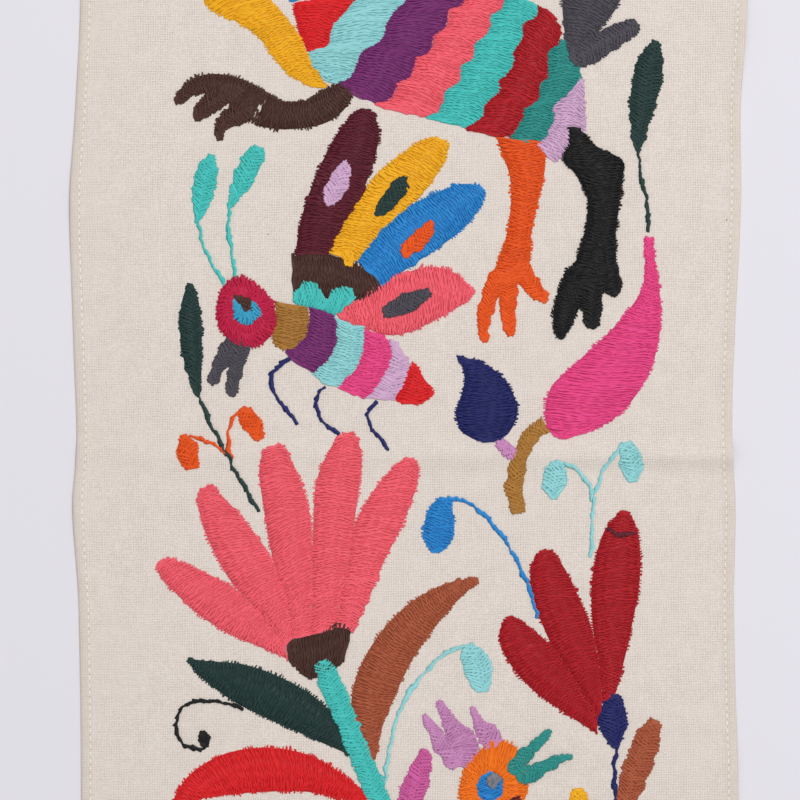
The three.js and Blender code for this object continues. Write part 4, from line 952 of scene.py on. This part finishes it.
# The plants at the right: a bud on a thread-thin stem, the great drop and the small one beside it on
# their stalks, drooping sprouts, and the flower of three petals with its cup, stem and leaf.
right_plants = embroider("right_plants", [
    leaf("bottle", [(111.2, 187.8, 2.6), (110, 183, 5), (108.6, 176, 6.2), (106.6, 166, 6.2),
        (105, 156, 4.8), (104.2, 147, 2.6), (103.9, 142, 1.2)]),
    line("bottle", [(104, 142), (105, 128), (108.2, 115), (108.8, 103.5)]),
    band("pink", [(106.8, 101.5, 110, 101.5), (107, 92, 111.2, 92), (106, 80, 113.2, 80),
        (100.5, 70, 114.2, 69), (90, 58, 113.4, 56), (76, 45, 110, 43), (65, 34.5, 104.2, 32),
        (61.7, 23.5, 96.5, 22.5), (63.2, 15, 85, 15), (67, 11.7, 74, 11.3)], caps=(0, 0.15)),
    leaf("ochre", [(61.8, 16.7, 3.3), (57, 13.6, 3.5), (53, 8.3, 3.3), (50.6, 2, 3.2), (48.6, -5, 3.4),
        (47.8, -12, 3.5), (49.2, -18.5, 3.4), (50, -22.4, 2.9)], caps=(0, 0.2)),
    band("navy", [(21.8, 47.6, 24.5, 47.5), (24.6, 42.8, 35, 44.2), (25.3, 37, 43.5, 37.5),
        (23.8, 30, 47.6, 30.5), (21.2, 21.8, 49.6, 22.5), (24.3, 13.5, 46, 13.6), (31, 9.6, 41, 9.8)],
        caps=(0, 0.15)),
    leaf("orchid", [(40.8, 9, 1.9), (44, 5.6, 2.6), (47.2, 3.4, 2.6)]),
    leaf("aqua", [(67.6, -3, 4), (66.3, -7, 5.8), (65.8, -12, 4.4), (66, -15.4, 2)]),
    line("aqua", [(70, -1.2), (75.5, -3), (80.5, -8), (83.3, -14.5), (83.2, -30), (82.6, -44)], girth=1.7),
    line("aqua", [(97, 7.8), (91.5, 2.5), (87.5, -5.5), (84, -15)], girth=1.7),
    leaf("aqua", [(98.8, 6.4, 3.4), (100, 2.5, 4.8), (101, -2.5, 4.8), (101.6, -6.6, 2.8)]),
    leaf("blue", [(15.8, -19, 4), (14.6, -23, 6), (13.7, -31, 7), (12.8, -37, 5.2), (12, -39.6, 2.8)]),
    line("blue", [(17, -16.3), (26, -18.4), (36, -25.3), (45, -37), (50.5, -48), (55, -57.5), (59, -71)]),
    band("crimson", [(84.5, -122.5, 86, -117), (70, -113, 79, -105), (56, -103, 72, -93),
        (45, -90, 64, -82.6), (41, -79, 54.5, -74.3), (42.6, -72.6, 49.5, -71)], caps=(0, 0.5)),
    band("crimson", [(86, -117, 87.5, -108), (79, -105, 87, -98), (71.5, -92.5, 85.3, -87),
        (63.8, -81, 82.5, -74), (57.8, -66, 77.5, -62), (55, -52, 71.2, -49), (57, -43.2, 66, -41.2)],
        caps=(0, 0.65)),
    band("crimson", [(87.5, -108, 93.3, -106), (87, -97, 95.8, -97), (85.3, -86, 98.8, -85),
        (83.2, -74, 101.5, -72), (82.6, -59, 104.2, -58), (84, -46, 105, -44), (87.8, -32.5, 104, -33),
        (93, -25.4, 101.5, -26)], caps=(0, 0.7)),
    # A thin maroon strip along the crimson petal's tip: painted shade, a dark line for the shadow of a fold
    # in the stitches.
    leaf("maroon", [(90.6, -30.6, 0.4), (94, -32.6, 0.7), (98, -33.2, 0.7), (101.6, -32, 0.4)], rise=0.3),
    leaf("navy", [(93, -107, 2.8), (92.6, -111, 5.4), (92.5, -118, 6.4), (93, -124, 4.2),
        (93.6, -128, 1.6)], rise=0.2),
    line("navy", [(94, -128), (93, -140), (93.4, -153), (95.5, -176)]),
    leaf("rust", [(110.4, -118.6, 3), (108.6, -124, 5.2), (105.4, -133, 5.8), (101.6, -143, 5.6),
        (98.3, -154, 4.4), (96.5, -167, 1.4)]),
], seed=41)


# The crested bird: a spiked crest, a round head and a beak. Its body, tail feathers and leg lie past the
# view and are finished plainly, and two loose petals stand beside it.
bird = embroider("bird", [
    leaf("orchid", [(7.8, -115.8, 1), (11.5, -121, 2.2), (15.5, -128, 3.4), (20.4, -135.4, 3.6)]),
    leaf("orchid", [(14.4, -108.8, 1), (17, -115, 2.4), (21, -121.5, 4.6), (25.4, -127.6, 6.6),
        (24, -134.6, 4.6)]),
    leaf("orchid", [(29, -111.8, 1), (31.2, -117, 2.2), (34.6, -121.8, 3.8), (37.8, -125.2, 5)]),
    band("tangerine", [(38, -125.8, 37.5, -141), (46.5, -127.5, 40.5, -142), (52.5, -134.5, 42.6, -144.3),
        (54.3, -144, 43.4, -147), (53, -151.5, 42.5, -149.8), (46, -159.5, 39.6, -152.4),
        (36, -161.5, 36.5, -153), (27, -158, 33, -151.6), (23, -151, 30.6, -148.6),
        (24.5, -141.5, 30.9, -144.8), (30, -132.5, 33.8, -141.7), (38, -125.8, 37.5, -141)], rise=0.2),
    disc("blue", 36.8, -147.2, 6.6, 5.9, rise=0.2),
    disc("grey", 38.3, -144.5, 2.6, 2.6, rise=0.8),
    leaf("teal", [(48.4, -138.6, 3.6), (51, -134.5, 3.2), (56.5, -128.8, 2.1), (61.5, -123.9, 1.4),
        (63.4, -122, 0.8)], rise=0.55),
    leaf("teal", [(52, -142, 3.8), (57.5, -139.8, 3.2), (63.5, -136.4, 2.5), (69, -133.9, 1.5),
        (73, -133, 0.7)], rise=0.55),
    band("maroon", [(44.5, -153.4, 50.5, -151.2), (30, -161, 53.4, -158), (22, -167, 55.5, -166.5),
        (18, -173, 57, -174.5)], rise=0.35),
    band("pink", [(18, -173, 57, -174.5), (13, -185, 61, -188), (10, -198, 62, -203)]),
    band("turquoise", [(10, -198, 62, -203), (9.5, -210, 60, -216), (12, -221, 55, -229)]),
    band("purple", [(12, -221, 55, -229), (16, -232, 48, -239), (22, -240, 38, -245)]),
    leaf("coral", [(15, -234, 4), (4, -247, 7.4), (-6, -262, 6.6), (-12, -278, 2)]),
    leaf("yellow", [(24, -244, 4), (19, -259, 7.2), (14, -276, 6.6), (12, -293, 2)]),
    leaf("blue", [(35, -248, 4), (35, -262, 6.6), (34, -278, 6), (34, -292, 2)]),
    line("navy", [(48, -240), (54, -254), (51, -266), (58, -280)]),
    leaf("magenta", [(7.4, -132, 2.6), (6, -137.5, 4.2), (3.2, -146, 5.2), (0.3, -156, 5.2),
        (-2, -168, 2)]),
    leaf("yellow", [(76.8, -150.4, 3.4), (76.8, -157, 5.4), (76, -166, 5.6), (75, -177, 2)]),
], seed=53)


# The two end areas, which the view doesn't reach: plain round flowers and sprigs of leaves in the same
# threads, so that the whole cloth is worked evenly.
petal_rows = [(0.28, 0.1), (0.65, 0.21), (1, 0.08)]  # share of the reach, half width as a share of it
sprig_rows = [(1.5, 0, 1.2), (13.5, 7, 4.8), (26.5, 10, 1.3)]  # out from the stem, up, half width
sprig_height, sprig_foot, sprig_step = 54, 12, 11
petals, centre = 6, 0.26


def rosette(petal_colour, centre_colour, x, y, reach):
    """A round flower of equal petals about a centre."""
    fields = [disc(centre_colour, x, y, reach * centre, reach * centre, rise=0.2)]
    for petal in range(petals):
        angle = petal / petals * 2 * math.pi + 0.3
        fields.append(leaf(petal_colour, [
            (x + reach * share * math.cos(angle), y + reach * share * math.sin(angle), reach * half)
            for share, half in petal_rows]))
    return fields


def sprig(x, y, lean, colours):
    """A leaning stem with leaves on both sides by turns."""
    fields = [line("rust", [(x, y), (x + lean / 2, y + sprig_height / 2), (x + lean, y + sprig_height)])]
    for k, colour in enumerate(colours):
        side = 1 if k % 2 else -1
        foot = sprig_foot + k * sprig_step
        stem = x + lean * foot / sprig_height
        rows = [(stem + side * out, y + foot + up, half) for out, up, half in sprig_rows]
        fields.append(leaf(colour, rows))
    return fields


end_flowers = embroider("end_flowers", [
    *rosette("orange", "bottle", 84, 284, 27),
    *rosette("coral", "navy", -92, 296, 26),
    *sprig(2, 248, 4, ["purple", "teal", "yellow", "crimson"]),
    *rosette("yellow", "maroon", -74, -214, 28),
    *sprig(-74, -318, 3, ["turquoise", "pink", "rust", "purple"]),
    *rosette("red", "teal", 106, -228, 25),
    *sprig(100, -318, -4, ["lilac", "orange", "bottle", "magenta"]),
], seed=67)
